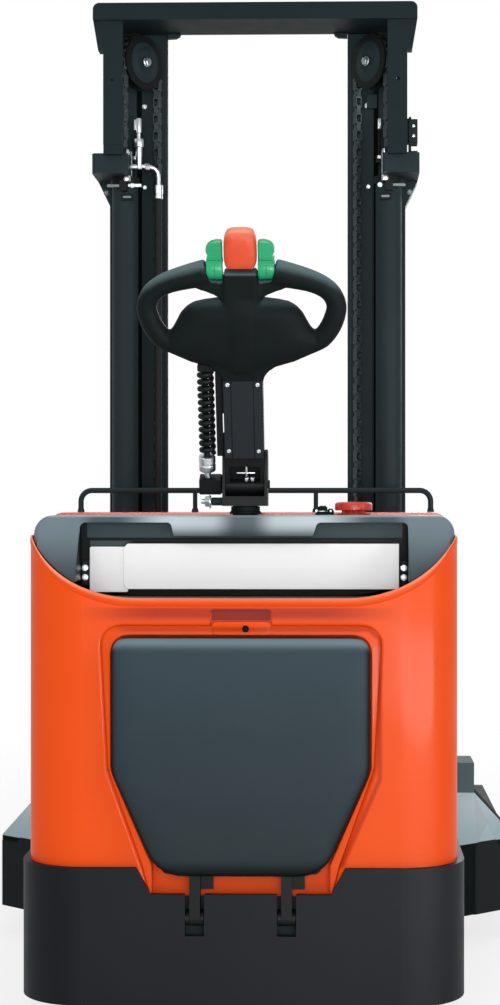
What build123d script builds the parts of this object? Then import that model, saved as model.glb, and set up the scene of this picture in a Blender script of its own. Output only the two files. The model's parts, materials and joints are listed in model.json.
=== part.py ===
"""Electric straddle stacker with a fold-up rider platform, its mast lowered.

Lengths are millimetres. X is across, Y is forward from the operator to the forks, Z is up.
While modelling, Y is measured from the rear face of the skirt and Z from the floor. Before
export the whole machine moves along Y, so that the origin is the middle of its footprint.
"""
from build123d import *
import math
import os

# Skirt and covers
skirt_half_width = 425.0
skirt_corner = 125.0
skirt_wall = 13.0
skirt_bottom = 38.0
skirt_top = 296.0
notch_top = 247.0
notch_half_width = 169.0
notch_flare = 27.0
cover_gap = 0.5
cover_wall = 8.0
rim_top = 799.0
rim_flat_half = 200.0
rim_radius = 250.0
bezel_inset = 4.5
bezel_wall = 9.0
bezel_front = 300.0
bezel_top = 955.0
hood_top = 960.0
bezel_edge = 34.0
console_slant = 122.0
brow_round = 14.0
brow_bottom = 915.0
brow_half_width = 134.0
pocket_slant = 8.0
pocket_top = 941.0
tray_gap = 5.5
seam = 0.3
panel_half_width = 300.0
panel_bottom = 812.0
panel_top = 900.0
panel_thickness = 14.0
panel_gap = 17.0
panel_depth = 150.0
panel_end_width = 66.0
panel_end_drop = 6.0
panel_end_step = 4.0
panel_chamfer = 8.0
neck_gap = 10.0

# Platform and its hinge
pad_half_width = 243.0
pad_top = 727.0
pad_bottom = 281.0
pad_waist = 478.0
pad_waist_half = 229.0
pad_foot_half = 165.0
pad_thickness = 44.0
pad_proud = 20.0
pad_edge = 18.0
tray_thickness = 6.0
mat_thickness = 3.0
recess_margin = 19.0
recess_clearance = 3.0
recess_edge = 9.0
latch_half_width = 58.0
latch_bottom = 744.0
latch_top = 779.0
latch_depth = 10.0
hinge_x = 86.0
hinge_depth = 17.0
hinge_z = 200.0
hinge_radius = 14.0
hinge_arm_width = 20.0
arm_flange = 24.0
hinge_ear = 6.0
hinge_play = 0.5
hinge_pin_radius = 6.0
slot_width = 36.0
slot_bottom = 169.0

# Chassis
deck_top = 238.0
deck_thickness = 12.0
side_plate = 12.0
rear_plate_depth = 32.0
rear_plate = 8.0
frame_bottom = 60.0
bulkhead = 12.0
bulkhead_top = 905.0
bulkhead_half_width = 405.0
beam_bottom = 66.0
beam_top = 200.0
stay_thickness = 8.0
stay_bottom = 700.0

# Legs and load wheels
leg_outer = 582.0
leg_width = 110.0
shoulder_step = 15.0
shoulder_setback = 50.0
shoulder_top = 396.0
slope_top = 329.0
slope_foot = 42.0
leg_edge_z = 214.0
leg_top = 196.0
leg_gap = 23.0
leg_mitre = 82.0
leg_nose = 90.0
leg_corner = 40.0
leg_wall = 12.0
load_wheel_radius = 63.5
load_wheel_width = 70.0
load_wheel_gap = 3.0
load_wheel_depth = 1760.0
load_axle_radius = 12.5

# Steering, drive unit and casters
steer_depth = 198.0
drive_wheel_radius = 115.0
drive_wheel_width = 75.0
drive_hub_radius = 82.0
turntable_radius = 150.0
turntable_hole = 131.0
turntable_thickness = 18.0
case_gap = 6.0
case_width = 58.0
case_half = 52.0
drive_axle_radius = 20.0
axle_overhang = 10.0
hub_rim = 14.0
hub_dish_depth = 12.0
hub_bolts = 5
hub_bolt_radius = 7.0
motor_radius = 80.0
motor_height = 250.0
motor_grooves = 2
groove_height = 20.0
groove_depth = 6.0
column_radius = 25.0
yoke_bottom = 973.0
yoke_top = 992.0
cheek_top = 1084.0
cheek_half_width = 44.0
cheek_thickness = 5.5
cheek_round = 22.0
yoke_half_depth = 34.0
pin_overhang = 4.0
caster_x = 290.0
caster_depth = 205.0
caster_radius = 62.5
caster_width = 38.0
caster_trail = 36.0
caster_boss_radius = 45.0
caster_boss_height = 20.0
caster_stem_radius = 10.0
caster_gap = 3.0
caster_plate = 8.0
caster_crown_margin = 6.0
caster_eye = 16.0
caster_pin_radius = 7.0

# Tiller
tilt_z = 1016.0
lean = 25.0
arm_half_width = 38.0
arm_half_depth = 20.0
arm_root_radius = 22.0
arm_wall = 8.0
tilt_pin_radius = 8.0
panel_low = 54.0
panel_high = 226.0
panel_plate = 4.0
hub_low = 237.0
hub_high = 389.0
hub_crown = 4.0
hub_top_half = 60.0
hub_shoulder = (120.0, 362.0)
hub_side = (150.0, 300.0)
hub_side_round = 24.0
hub_half_depth = 30.0
hub_round = 18.0
neck_half_width = 30.0
spine_half_width = 24.0
spine_half_depth = 20.0
grip_radius = 25.0
loop_points = [(67.0, 442.0), (118.0, 437.0), (172.0, 402.0), (174.0, 345.0), (150.0, 296.0), (96.0, 278.0)]
loop_bends = [50.0, 40.0, 50.0, 50.0]
throttle_height = 444.0
throttle_shaft_radius = 9.0
lever_inner = 32.5
lever_outer = 64.0
lever_radius = 21.0
lever_root = 16.0
lever_tip_front = 11.0
lever_tip_rear = 14.0
lever_tip_round = 9.0
lever_reach = 61.0
belly_low = 449.0
belly_high = 532.0
belly_half_width = 31.0
belly_half_depth = 26.0
belly_side_round = 16.0
belly_top_round = 14.0
belly_guide = 30.0
belly_spare = 2.0
belly_travel = 8.0
button_radius = 13.0
button_travel = 3.0
button_gap = 0.5
button_proud = 1.5
button_seat = 12.0
button_edge = 2.0
button_height = 324.0
button_spacing = 62.0
spring_x = -71.0
spring_low = 66.0
spring_turns = 11
spring_pitch = 15.6
spring_wire = 7.0
wire_sides = 6
spring_outer = 33.0
spring_seat = 1.2
strut_radius = 7.0
strut_half = 16.0
sleeve_radius = 13.0
strut_collar_height = 10.0
eye_half = 12.0

# Mast
outer_web = 333.0
outer_lip = 273.0
outer_web_thickness = 12.0
outer_flange = 18.0
outer_depth = 120.0
column_gap = 8.0
outer_drop = 368.0
inner_web = 262.0
inner_lip = 203.0
inner_front_lip = 216.0
inner_web_thickness = 12.0
inner_flange = 14.0
inner_setback = 10.0
inner_bottom = 90.0
mast_top = 2074.0
stroke_reserve = 70.0
head_block_inner = 280.0
head_block_outer = 361.0
head_block_reach = 68.0
head_block_height = 44.0
gusset_height = 58.0
cylinder_x = 294.0
cylinder_depth = 708.0
cylinder_radius = 29.0
cylinder_gap = 12.0
cylinder_bore = 22.0
gland_height = 16.0
rod_radius = 17.0
piston_height = 40.0
piston_spare = 10.0
gland_radius = 33.0
crossbar_gap = 7.0
crossbar_half = 355.0
crossbar_reach = 96.0
crossbar_height = 37.0
crossbar_end_drop = 66.0
hanger_inner = 290.0
hanger_outer = 333.0
hanger_setback = 6.0
hanger_thickness = 12.0
foot_gap = 15.0
foot_height = 25.0
foot_margin = 3.0
foot_step = 15.0
hanger_hole_radius = 4.0
hanger_hole_inset = 20.0
hanger_hole_drop = 168.0
crossbar_round = 14.0
tie_gap = 10.0
tie_height = 60.0
cylinder_floor = 20.0
sheave_x = 258.0
sheave_setback = 14.0
sheave_drop = 114.0
sheave_turn = 54.0
sheave_pitch_radius = 56.0
sheave_flange = 4.0
sheave_bore = 10.0
bracket_gap = 2.0
bracket_half = 30.0
bracket_plate = 20.0
bracket_nose = 17.0
bracket_lap = 22.0
chain_pitch = 19.05
chain_height = 14.0
chain_width = 16.0
chain_plate = 2.6
chain_play = 0.5
link_end = 4.5
anchor_height = 18.0
anchor_radius = 7.0

# Carriage and forks
carriage_plate_outer = 195.0
carriage_plate_inner = 170.0
carriage_setback = 20.0
carriage_reach = 50.0
carriage_bar = 35.0
carriage_bottom = 80.0
carriage_top = 520.0
carriage_bar_half = 340.0
carriage_bar_height = 60.0
chain_lug_bottom = 470.0
chain_lug_top = 500.0
roller_play = 0.3
stub_gap = 4.0
roller_gap = 3.0
lug_half = 11.0
mast_roller_width = 34.0
carriage_roller_width = 38.0
roller_axle_radius = 15.0
mast_roller_z = 150.0
carriage_roller_low_z = 130.0
carriage_roller_high_z = 430.0
fork_inner = 180.0
fork_width = 100.0
fork_thickness = 35.0
fork_bottom = 40.0
fork_length = 1150.0
fork_tip = 12.0

# Small fittings
running_fit = 0.05
clearance = 0.3
rail_setback = 10.0
rail_z = 1007.0
rail_half_width = 385.0
rail_radius = 6.0
rail_bend = 24.0
rail_post_x = 133.0
rail_post_radius = 5.0
stop_x = 213.0
stop_depth = 250.0
stop_radius = 29.0
stop_top_radius = 37.0
stop_travel = 6.0
stop_stem_hole = 11.0
stop_stem_radius = 8.0
stop_plate = 6.0
stop_plate_radius = 34.0
stop_collar_radius = 18.0
stop_collar_height = 11.0
stop_cap_gap = 2.0
stop_cap_plate = 6.0
key_x = 150.0
key_barrel_hole = 9.0
key_barrel_radius = 8.5
key_plug_radius = 6.0
key_boss_radius = 14.0
key_boss_height = 11.0
key_plug_end = 4.0
key_half_thickness = 1.5
key_shank_half = 4.0
key_shank_length = 8.0
key_head_half = 11.0
key_head_low = 12.0
key_head_high = 26.0
battery_gap = 7.0
battery_front_gap = 15.0
battery_half = 370.0
battery_top = 840.0
lid_groove_drop = 60.0
lid_groove_height = 6.0
lid_groove_depth = 5.0
tank_wall_gap = 23.5
tank_column_gap = 40.0
tank_rear_gap = 88.5
tank_front_gap = 25.0
tank_height = 242.0
tank_round = 15.0
pump_height = 220.0
pump_radius = 62.0
valve_setback = 40.0
valve_margin = 20.0
valve_length = 40.0
valve_height = 70.0
hose_radius = 8.0
hose_x = -221.0
hose_offset = 7.0
hose_low = 600.0
hose_drop = 44.0
ferrule_length = 30.0
ferrule_wall = 2.0
elbow_radius = 5.0
elbow_bend = 18.0
elbow_rise = 4.0
stack_x = -262.0
stack_setback = 18.0
stack_radius = 7.5
stack_foot = 8.0
stack_nut_low = 28.0
stack_nut_high = 46.0
stack_nut_radius = 11.0
stack_top = 86.0
stack_tip_radius = 6.0
port_radius = 6.5
switch_x = 338.0
switch_plate_thickness = 5.0
switch_width = 19.0
switch_setback = 15.0
switch_length = 45.0
switch_height = 80.0
switch_body_low = 22.0
switch_body_high = 76.0

# Depths that follow from the lift cylinders: the body ends behind them, the mast stands before them
bulkhead_front = cylinder_depth - cylinder_radius - cylinder_gap
body_front = bulkhead_front - bulkhead
leg_rear = bulkhead_front + leg_gap
rail_depth = body_front - rail_setback
outer_rear = cylinder_depth + cylinder_radius + column_gap
outer_front = outer_rear + outer_depth
inner_rear = outer_rear + inner_setback
inner_front = outer_front - inner_setback
carriage_rear = inner_rear + carriage_setback
carriage_face = inner_front + carriage_reach
head_block_rear = cylinder_depth - head_block_reach
crossbar_rear = cylinder_depth - crossbar_reach
hanger_depth = crossbar_rear + hanger_setback
sheave_depth = cylinder_depth - sheave_setback
hose_depth = cylinder_depth + hose_offset
switch_rear = head_block_rear + switch_setback
switch_depth = (switch_rear, switch_rear + switch_length)

# Heights that follow from the top of the mast
outer_top = mast_top - outer_drop
head_block_top = outer_top + head_block_height
gusset_bottom = outer_top - gusset_height
cylinder_top = outer_top - gland_height
lift_stroke = cylinder_top - beam_top - cylinder_floor - piston_height - piston_spare - stroke_reserve
foot_bottom = head_block_top + foot_gap
foot_top = foot_bottom + foot_height
crossbar_bottom = mast_top - crossbar_height
crossbar_end_z = crossbar_bottom - crossbar_end_drop
column_top = crossbar_bottom - crossbar_gap
hanger_hole_z = mast_top - hanger_hole_drop
sheave_z = mast_top - sheave_drop
hose_high = outer_top - hose_drop

nodes = {}


def outline(points, rounding=0.0):
    """Flat face through the points; each corner is rounded by its own radius."""
    face = make_face(Polyline(*points, close=True))
    radii = rounding if isinstance(rounding, list) else [rounding] * len(points)
    for point, radius in zip(points, radii):
        if radius > 0:
            corner = face.vertices().sort_by_distance((*point, 0))[0]
            face = fillet(corner, radius)
    return face


def slab(points, low, high, rounding=0.0):
    """Outline in X and Y, raised from one height to another."""
    return extrude(Pos(0, 0, low) * outline(points, rounding), high - low, dir=(0, 0, 1))


def wall(points, low, high, rounding=0.0, grow=0.0):
    """Outline in X and Z, grown all round, drawn out along Y from one depth to another."""
    face = outline(points, rounding)
    if grow > 0:
        face = offset(face, grow)
    return Plane.XZ * extrude(Pos(0, 0, -high) * face, high - low, dir=(0, 0, 1))


def side(points, low, high, rounding=0.0):
    """Outline in Y and Z, drawn out along X from one side to another."""
    return Plane.YZ * slab(points, low, high, rounding)


def block(x, y, z):
    """Box between the low and high values of each axis."""
    centre = ((x[0] + x[1]) / 2, (y[0] + y[1]) / 2, (z[0] + z[1]) / 2)
    return Pos(*centre) * Box(x[1] - x[0], y[1] - y[0], z[1] - z[0])


def bar(start, end, radius):
    """Round bar between two points."""
    axis = Vector(*end) - Vector(*start)
    return extrude(Plane(start, z_dir=axis) * Circle(radius), axis.length)


def both(shape):
    """A shape with its mirror image on the other side."""
    return [mirror(shape, about=Plane.YZ), shape]


def body_plan(half_width, rear, corner, low, high, front=body_front):
    """Upright body with straight sides, a flat front and rounded rear corners."""
    points = [(-half_width, front), (-half_width, rear), (half_width, rear), (half_width, front)]
    return slab(points, low, high, [0.0, corner, corner, 0.0])


def add(name, *solids):
    """Name one node of the machine."""
    nodes[name] = list(solids)


def above_rim(gap):
    """Space above the rear cover's rim, which sweeps up towards both sides."""
    low = rim_top + gap
    half = skirt_half_width
    rise = math.asin((half - rim_flat_half) / rim_radius)
    end = (half, low + rim_radius * (1 - math.cos(rise)))
    middle = (rim_flat_half + rim_radius * math.sin(rise / 2), low + rim_radius * (1 - math.cos(rise / 2)))
    high = bezel_top + rim_radius
    start = (rim_flat_half, low)
    edge = [
        Line((-rim_flat_half, low), start),
        ThreePointArc(start, middle, end),
        Line(end, (half, high)),
        Line((half, high), (-half, high)),
        Line((-half, high), (-end[0], end[1])),
        ThreePointArc((-end[0], end[1]), (-middle[0], middle[1]), (-rim_flat_half, low)),
    ]
    face = Pos(0, 0, -body_front - skirt_wall) * make_face(edge)
    return Plane.XZ * extrude(face, body_front + 2 * skirt_wall, dir=(0, 0, 1))


# Skirt: an apron with rounded corners, a notch for the platform and two hinge slots
skirt_front = body_front + bulkhead
skirt_outer = body_plan(skirt_half_width, 0, skirt_corner, skirt_bottom, skirt_top, skirt_front)
skirt_inner_half = skirt_half_width - skirt_wall
skirt_hollow = body_plan(
    skirt_inner_half, skirt_wall, skirt_corner - skirt_wall, skirt_bottom, skirt_top, skirt_front
)
notch_points = [
    (-notch_half_width, notch_top),
    (notch_half_width, notch_top),
    (notch_half_width + notch_flare, skirt_top),
    (-notch_half_width - notch_flare, skirt_top),
]
notch = wall(notch_points, 0, skirt_wall)
slot = block(
    (hinge_x - slot_width / 2, hinge_x + slot_width / 2), (0, skirt_wall), (slot_bottom, skirt_top)
)
skirt = skirt_outer - skirt_hollow - notch - both(slot)
add("skirt", skirt)

# Rear cover: an upright shell with a recess for the platform and a latch pocket above it
cover_half = skirt_inner_half - cover_gap
cover_rear = skirt_wall + cover_gap
cover_corner = skirt_corner - cover_rear
pad_rear = -pad_proud
pad_front = pad_rear + pad_thickness
tray_front = pad_front + tray_thickness
mat_front = tray_front + mat_thickness
recess_floor = mat_front + recess_clearance
recess_half = pad_half_width + recess_margin
recess_waist = pad_waist_half + recess_margin
recess_top = pad_top + recess_margin
recess_foot = pad_foot_half + recess_margin
recess_points = [
    (-recess_half, recess_top),
    (recess_half, recess_top),
    (recess_waist, pad_waist),
    (recess_foot, skirt_top),
    (notch_half_width, deck_top),
    (-notch_half_width, deck_top),
    (-recess_foot, skirt_top),
    (-recess_waist, pad_waist),
]
recess_rounding = [recess_margin + pad_edge, recess_margin + pad_edge, 30.0, 0.0, 0.0, 0.0, 0.0, 30.0]
recess = wall(recess_points, 0, recess_floor, recess_rounding)
recess_back = wall(recess_points, 0, recess_floor + cover_wall, recess_rounding, cover_wall)
latch_points = [
    (-latch_half_width, latch_bottom),
    (latch_half_width, latch_bottom),
    (latch_half_width, latch_top),
    (-latch_half_width, latch_top),
]
latch_pocket = wall(latch_points, 0, cover_rear + latch_depth, [0.0, 0.0, 10.0, 10.0])
latch_back = wall(latch_points, 0, cover_rear + latch_depth + cover_wall, 0.0, cover_wall)
cover_block = body_plan(cover_half, cover_rear, cover_corner, deck_top, bezel_top) - recess
recess_rim = cover_block.edges().filter_by_position(Axis.Y, cover_rear - seam, cover_rear + seam)
recess_rim = recess_rim.filter_by_position(Axis.Z, deck_top + seam, recess_top + seam)
recess_rim = recess_rim.filter_by_position(Axis.X, -recess_half - seam, recess_half + seam)
cover_block = fillet(recess_rim, recess_edge) - latch_pocket
cover_hollow = body_plan(
    cover_half - cover_wall, cover_rear + cover_wall, cover_corner - cover_wall, deck_top, bezel_top
)
cover = cover_block - (cover_hollow - recess_back - latch_back) - above_rim(0)
add("rear_cover", cover)

# Top cover and hood: one rounded lid, split across, with a console that slants up from the rear rim
lid_half = cover_half - bezel_inset
lid_rear = cover_rear + bezel_inset
lid_corner = cover_corner - bezel_inset
slant_ratio = console_slant / (bezel_top - rim_top)


def lid_block(inset, top, edge):
    """Rounded lid drawn in by a wall: its top side edges rounded, its rear face slanting forward."""
    half = lid_half - inset
    solid = body_plan(half, lid_rear + inset, lid_corner - inset, rim_top, top)
    upper = solid.faces().sort_by(Axis.Z)[-1].edges().filter_by(lambda each: each.center().Y < body_front - 1)
    rear = lid_rear + inset * math.hypot(1, slant_ratio)
    behind = [(0, rim_top), (rear, rim_top), (rear + (top - rim_top) * slant_ratio, top), (0, top)]
    return fillet(upper, edge) - side(behind, -half, half)


def lid(top):
    """The lid as a shell, its sides standing on the rear cover's rim."""
    shell = lid_block(0, top, bezel_edge) - lid_block(bezel_wall, top - bezel_wall, bezel_edge - bezel_wall)
    return shell & above_rim(seam)


rear_half = block((-lid_half, lid_half), (0, bezel_front), (0, bezel_top))
front_half = block((-lid_half, lid_half), (bezel_front + seam, body_front), (0, hood_top))
mouth_half = panel_half_width + panel_gap
mouth_points = [
    (-mouth_half, rim_top),
    (mouth_half, rim_top),
    (mouth_half, pocket_top),
    (brow_half_width + pocket_slant, pocket_top),
    (brow_half_width, brow_bottom),
    (-brow_half_width, brow_bottom),
    (-brow_half_width - pocket_slant, pocket_top),
    (-mouth_half, pocket_top),
]
mouth_rounding = [0.0, 0.0, 10.0, 10.0, 4.0, 4.0, 10.0, 10.0]
mouth = wall(mouth_points, 0, panel_depth, mouth_rounding)
mouth_liner = wall(mouth_points, 0, panel_depth + bezel_wall, mouth_rounding, bezel_wall) - mouth
liner_body = lid_block(0, bezel_top, bezel_edge) & above_rim(seam)
tray_floor = block(
    (-mouth_half, mouth_half),
    (cover_rear + cover_wall + tray_gap, panel_depth + bezel_wall),
    (rim_top - bezel_wall, rim_top + seam),
)
neck_hole = Pos(0, steer_depth, bezel_top) * Cylinder(column_radius + neck_gap, 4 * bezel_wall)
stop_hole = Pos(stop_x, stop_depth, bezel_top) * Cylinder(stop_stem_hole, 4 * bezel_wall)
key_hole = Pos(key_x, stop_depth, bezel_top) * Cylinder(key_barrel_hole, 4 * bezel_wall)
console = (lid(bezel_top) & rear_half) + (mouth_liner & liner_body) - mouth + tray_floor
brow_edge = console.edges().filter_by(Axis.X).sort_by_distance((0, lid_rear + console_slant, bezel_top))[0]
console = fillet(brow_edge, brow_round)
add("top_cover", console - neck_hole - stop_hole - key_hole)
add("hood", lid(hood_top) & front_half)

# White panel at the back of the console's mouth: a main plate over a lower end plate
panel_split = -panel_half_width + panel_end_width
main_points = [
    (panel_split, panel_bottom + panel_chamfer),
    (panel_split + panel_chamfer, panel_bottom),
    (panel_half_width, panel_bottom),
    (panel_half_width, panel_top),
    (panel_split + panel_chamfer, panel_top),
    (panel_split, panel_top - panel_chamfer),
]
main_plate = wall(main_points, panel_depth - panel_thickness, panel_depth)
end_points = [
    (-panel_half_width, panel_bottom - panel_end_drop),
    (panel_split + panel_chamfer, panel_bottom - panel_end_drop),
    (panel_split + panel_chamfer, panel_top - panel_end_drop),
    (-panel_half_width, panel_top - panel_end_drop),
]
end_plate = wall(end_points, panel_depth - panel_thickness + panel_end_step, panel_depth, 3.0)
add("rear_panel", main_plate + end_plate)

# Platform: moulded pad, steel tray with two hinge arms, standing mat on the hidden side
pad_points = [
    (-pad_half_width, pad_top),
    (pad_half_width, pad_top),
    (pad_waist_half, pad_waist),
    (pad_foot_half, pad_bottom),
    (-pad_foot_half, pad_bottom),
    (-pad_waist_half, pad_waist),
]
pad_rounding = [28.0, 28.0, 45.0, 45.0, 45.0, 45.0]
pad = wall(pad_points, pad_rear, pad_front, pad_rounding)
pad = fillet(pad.faces().sort_by(Axis.Y)[0].edges(), pad_edge)
add("platform_pad", pad)
tray_points = [
    (-pad_half_width + pad_edge, pad_top - pad_edge),
    (pad_half_width - pad_edge, pad_top - pad_edge),
    (pad_waist_half - pad_edge, pad_waist),
    (pad_foot_half - pad_edge, pad_bottom),
    (-pad_foot_half + pad_edge, pad_bottom),
    (-pad_waist_half + pad_edge, pad_waist),
]
tray_plate = wall(tray_points, pad_front, tray_front, 12.0)
arm_points = [
    (hinge_depth - hinge_radius, hinge_z - hinge_radius),
    (hinge_depth + hinge_radius, hinge_z - hinge_radius),
    (tray_front, pad_bottom),
    (tray_front, pad_bottom + 4 * hinge_radius),
    (pad_front, pad_bottom + 4 * hinge_radius),
    (pad_front, pad_bottom),
    (hinge_depth - hinge_radius, pad_bottom),
]
arm_rounding = [hinge_radius - 0.1, hinge_radius - 0.1, 0.0, 0.0, 0.0, 0.0, 0.0]
hinge_arm = side(arm_points, hinge_x - hinge_arm_width / 2, hinge_x + hinge_arm_width / 2, arm_rounding)
arm_bore = bar(
    (hinge_x - slot_width, hinge_depth, hinge_z),
    (hinge_x + slot_width, hinge_depth, hinge_z),
    hinge_pin_radius + running_fit,
)
tray = tray_plate + both(hinge_arm - arm_bore)
for across in (-hinge_x, hinge_x):
    tray += block(
        (across + hinge_arm_width / 2, across + hinge_arm_width / 2 + arm_flange),
        (pad_front, tray_front),
        (notch_top + hinge_ear, pad_bottom + pad_edge),
    )
add("platform_tray", tray)
mat = wall(tray_points, tray_front, mat_front, 12.0)
rib_count = 12
rib_gap = 4.0
rib_pitch = (pad_top - pad_bottom) / (rib_count + 1)
for rib in range(1, rib_count + 1):
    height = pad_bottom + rib * rib_pitch
    mat -= block(
        (-pad_half_width, pad_half_width),
        (mat_front - mat_thickness / 2, mat_front),
        (height - rib_gap / 2, height + rib_gap / 2),
    )
add("platform_mat", mat)

# Hinge brackets: two ears and a pin for each arm, on the rear plate of the chassis
ear_start = hinge_arm_width / 2 + hinge_play
ear_points = [
    (rear_plate_depth, hinge_z + hinge_radius),
    (hinge_depth - hinge_radius, hinge_z + hinge_radius),
    (hinge_depth - hinge_radius, hinge_z - hinge_radius),
    (rear_plate_depth, hinge_z - hinge_radius),
]
ear_rounding = [0.0, hinge_radius - 0.1, hinge_radius - 0.1, 0.0]
inner_ear = side(ear_points, hinge_x - ear_start - hinge_ear, hinge_x - ear_start, ear_rounding)
outer_ear = side(ear_points, hinge_x + ear_start, hinge_x + ear_start + hinge_ear, ear_rounding)
hinge_pin = bar(
    (hinge_x - ear_start - hinge_ear, hinge_depth, hinge_z),
    (hinge_x + ear_start + hinge_ear, hinge_depth, hinge_z),
    hinge_pin_radius,
)
add("platform_hinges", *both(inner_ear + outer_ear + hinge_pin))

# Chassis: deck, side and rear plates, bulkhead, cross beam and stays for the mast
deck_corner = skirt_corner - rear_plate_depth
deck_bottom = deck_top - deck_thickness
deck = body_plan(skirt_inner_half - side_plate, rear_plate_depth, deck_corner, deck_bottom, deck_top)
turntable_opening = Pos(0, steer_depth, deck_top) * Cylinder(turntable_hole, 4 * deck_thickness)
side_wall = block(
    (skirt_inner_half - side_plate, skirt_inner_half),
    (skirt_corner, body_front + bulkhead),
    (frame_bottom, deck_top),
)
rear_wall = block(
    (-skirt_half_width + skirt_corner, skirt_half_width - skirt_corner),
    (rear_plate_depth, rear_plate_depth + rear_plate),
    (frame_bottom, deck_top),
)
bulkhead_wall = block(
    (-bulkhead_half_width, bulkhead_half_width), (body_front, bulkhead_front), (frame_bottom, bulkhead_top)
)
mast_gap = (bulkhead_front, outer_rear)
beam = block((-bulkhead_half_width, bulkhead_half_width), mast_gap, (beam_bottom, beam_top))
stay = block((outer_web - stay_thickness, outer_web), mast_gap, (stay_bottom, bulkhead_top))
caster_boss = Pos(caster_x, caster_depth, deck_bottom - caster_boss_height / 2) * Cylinder(
    caster_boss_radius, caster_boss_height
)
caster_socket = Pos(caster_x, caster_depth, deck_bottom) * Cylinder(
    caster_stem_radius + running_fit, 4 * caster_boss_height
)
chassis = deck - turntable_opening + both(side_wall) + rear_wall + bulkhead_wall + beam + both(stay)
chassis = chassis + both(caster_boss) - both(caster_socket)
add("chassis_frame", chassis)

# Legs: a root block with a sloping shoulder, then a low beam with a fork for the load wheel
leg_inner = leg_outer - leg_width
shoulder_x = leg_inner + shoulder_step
shoulder_rear = leg_rear + shoulder_setback
leg_root_front = outer_front
leg_tip = load_wheel_depth + leg_nose
cheek_bottom = load_wheel_radius / 2
wheel_bay = load_wheel_radius + 3 * load_wheel_gap
wheel_x = (leg_outer + leg_inner) / 2
leg_profile = [
    (leg_rear, beam_bottom),
    (load_wheel_depth - 3 * load_wheel_radius, beam_bottom),
    (load_wheel_depth - 2 * load_wheel_radius, cheek_bottom),
    (leg_tip, cheek_bottom),
    (leg_tip, leg_top / 2),
    (leg_tip - leg_top / 3, leg_top),
    (leg_root_front + shoulder_top - leg_top, leg_top),
    (leg_root_front, shoulder_top),
    (shoulder_rear, shoulder_top),
    (shoulder_rear, slope_top),
    (leg_rear, leg_edge_z),
]
leg_section = [
    (bulkhead_half_width, 0),
    (leg_outer, 0),
    (leg_outer, leg_edge_z),
    (leg_outer - slope_foot, leg_edge_z),
    (shoulder_x, slope_top),
    (shoulder_x, shoulder_top),
    (bulkhead_half_width, shoulder_top),
]
leg_plan = [
    (bulkhead_half_width, leg_rear),
    (shoulder_x, leg_rear),
    (leg_outer, leg_rear + leg_mitre),
    (leg_outer, leg_tip),
    (leg_inner, leg_tip),
    (leg_inner, leg_root_front),
    (bulkhead_half_width, leg_root_front),
]
leg = side(leg_profile, bulkhead_half_width, leg_outer) & wall(leg_section, leg_rear, leg_tip)
root_corner = min(leg_corner, 0.8 * (leg_inner - bulkhead_half_width))
leg = leg & slab(leg_plan, 0, shoulder_top, [0.0, 0.0, 0.0, 30.0, 12.0, root_corner, 0.0])
wheel_space = block(
    (wheel_x - load_wheel_width / 2 - load_wheel_gap, wheel_x + load_wheel_width / 2 + load_wheel_gap),
    (load_wheel_depth - wheel_bay, load_wheel_depth + wheel_bay),
    (0, load_wheel_radius + wheel_bay),
)
axle_reach = leg_outer - wheel_x
axle_ends = [
    (wheel_x - axle_reach, load_wheel_depth, load_wheel_radius),
    (wheel_x + axle_reach, load_wheel_depth, load_wheel_radius),
]
leg_hollow = block(
    (leg_inner + leg_wall, leg_outer - leg_wall),
    (leg_root_front, load_wheel_depth - wheel_bay - leg_wall),
    (0, leg_top - leg_wall),
)
root_wall = min(leg_wall, (shoulder_x - bulkhead_half_width) / 3)
root_hollow = block(
    (bulkhead_half_width + root_wall, shoulder_x - root_wall),
    (shoulder_rear + leg_wall, leg_root_front - leg_wall),
    (0, shoulder_top - leg_wall),
)
leg = leg - wheel_space - leg_hollow - root_hollow - bar(*axle_ends, load_axle_radius + running_fit)
add("left_leg", mirror(leg, about=Plane.YZ))
add("right_leg", leg)
load_wheel = Pos(wheel_x, load_wheel_depth, load_wheel_radius) * Rot(Y=90) * Cylinder(
    load_wheel_radius, load_wheel_width
)
load_wheel = chamfer(load_wheel.edges().filter_by(GeomType.CIRCLE), 4.0) + bar(*axle_ends, load_axle_radius)
add("left_load_wheel", mirror(load_wheel, about=Plane.YZ))
add("right_load_wheel", load_wheel)

# Drive unit: turntable with a gear case beside the wheel, motor above, column with the tiller yoke
turntable_bottom = deck_top + clearance
turntable_top = turntable_bottom + turntable_thickness
case_inner = drive_wheel_width / 2 + case_gap
case_outer = case_inner + case_width
case_round = case_half - case_gap
case_points = [
    (steer_depth - case_half, turntable_bottom),
    (steer_depth - case_half, drive_wheel_radius - case_half),
    (steer_depth + case_half, drive_wheel_radius - case_half),
    (steer_depth + case_half, turntable_bottom),
]
turntable = Pos(0, steer_depth, (turntable_bottom + turntable_top) / 2) * Cylinder(
    turntable_radius, turntable_thickness
)
gear_case = side(case_points, case_inner, case_outer, [0.0, case_round, case_round, 0.0])
drive_axle = bar(
    (-drive_wheel_width / 2 - axle_overhang, steer_depth, drive_wheel_radius),
    (case_inner, steer_depth, drive_wheel_radius),
    drive_axle_radius,
)
add("gearbox", turntable + gear_case + drive_axle)
drive_centre = Pos(0, steer_depth, drive_wheel_radius) * Rot(Y=90)
drive_hub = Cylinder(drive_hub_radius, drive_wheel_width)
drive_hub -= Cylinder(drive_axle_radius + running_fit, drive_wheel_width)
hub_dish = Pos(0, 0, -drive_wheel_width / 2) * Cylinder(drive_hub_radius - hub_rim, 2 * hub_dish_depth)
hub_dish -= Cylinder(drive_axle_radius + hub_rim, 2 * drive_wheel_width)
bolt_circle = PolarLocations(drive_hub_radius / 2, hub_bolts) * Cylinder(hub_bolt_radius, drive_wheel_width)
drive_hub = drive_hub - hub_dish - bolt_circle
add("drive_hub", drive_centre * drive_hub)
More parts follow.
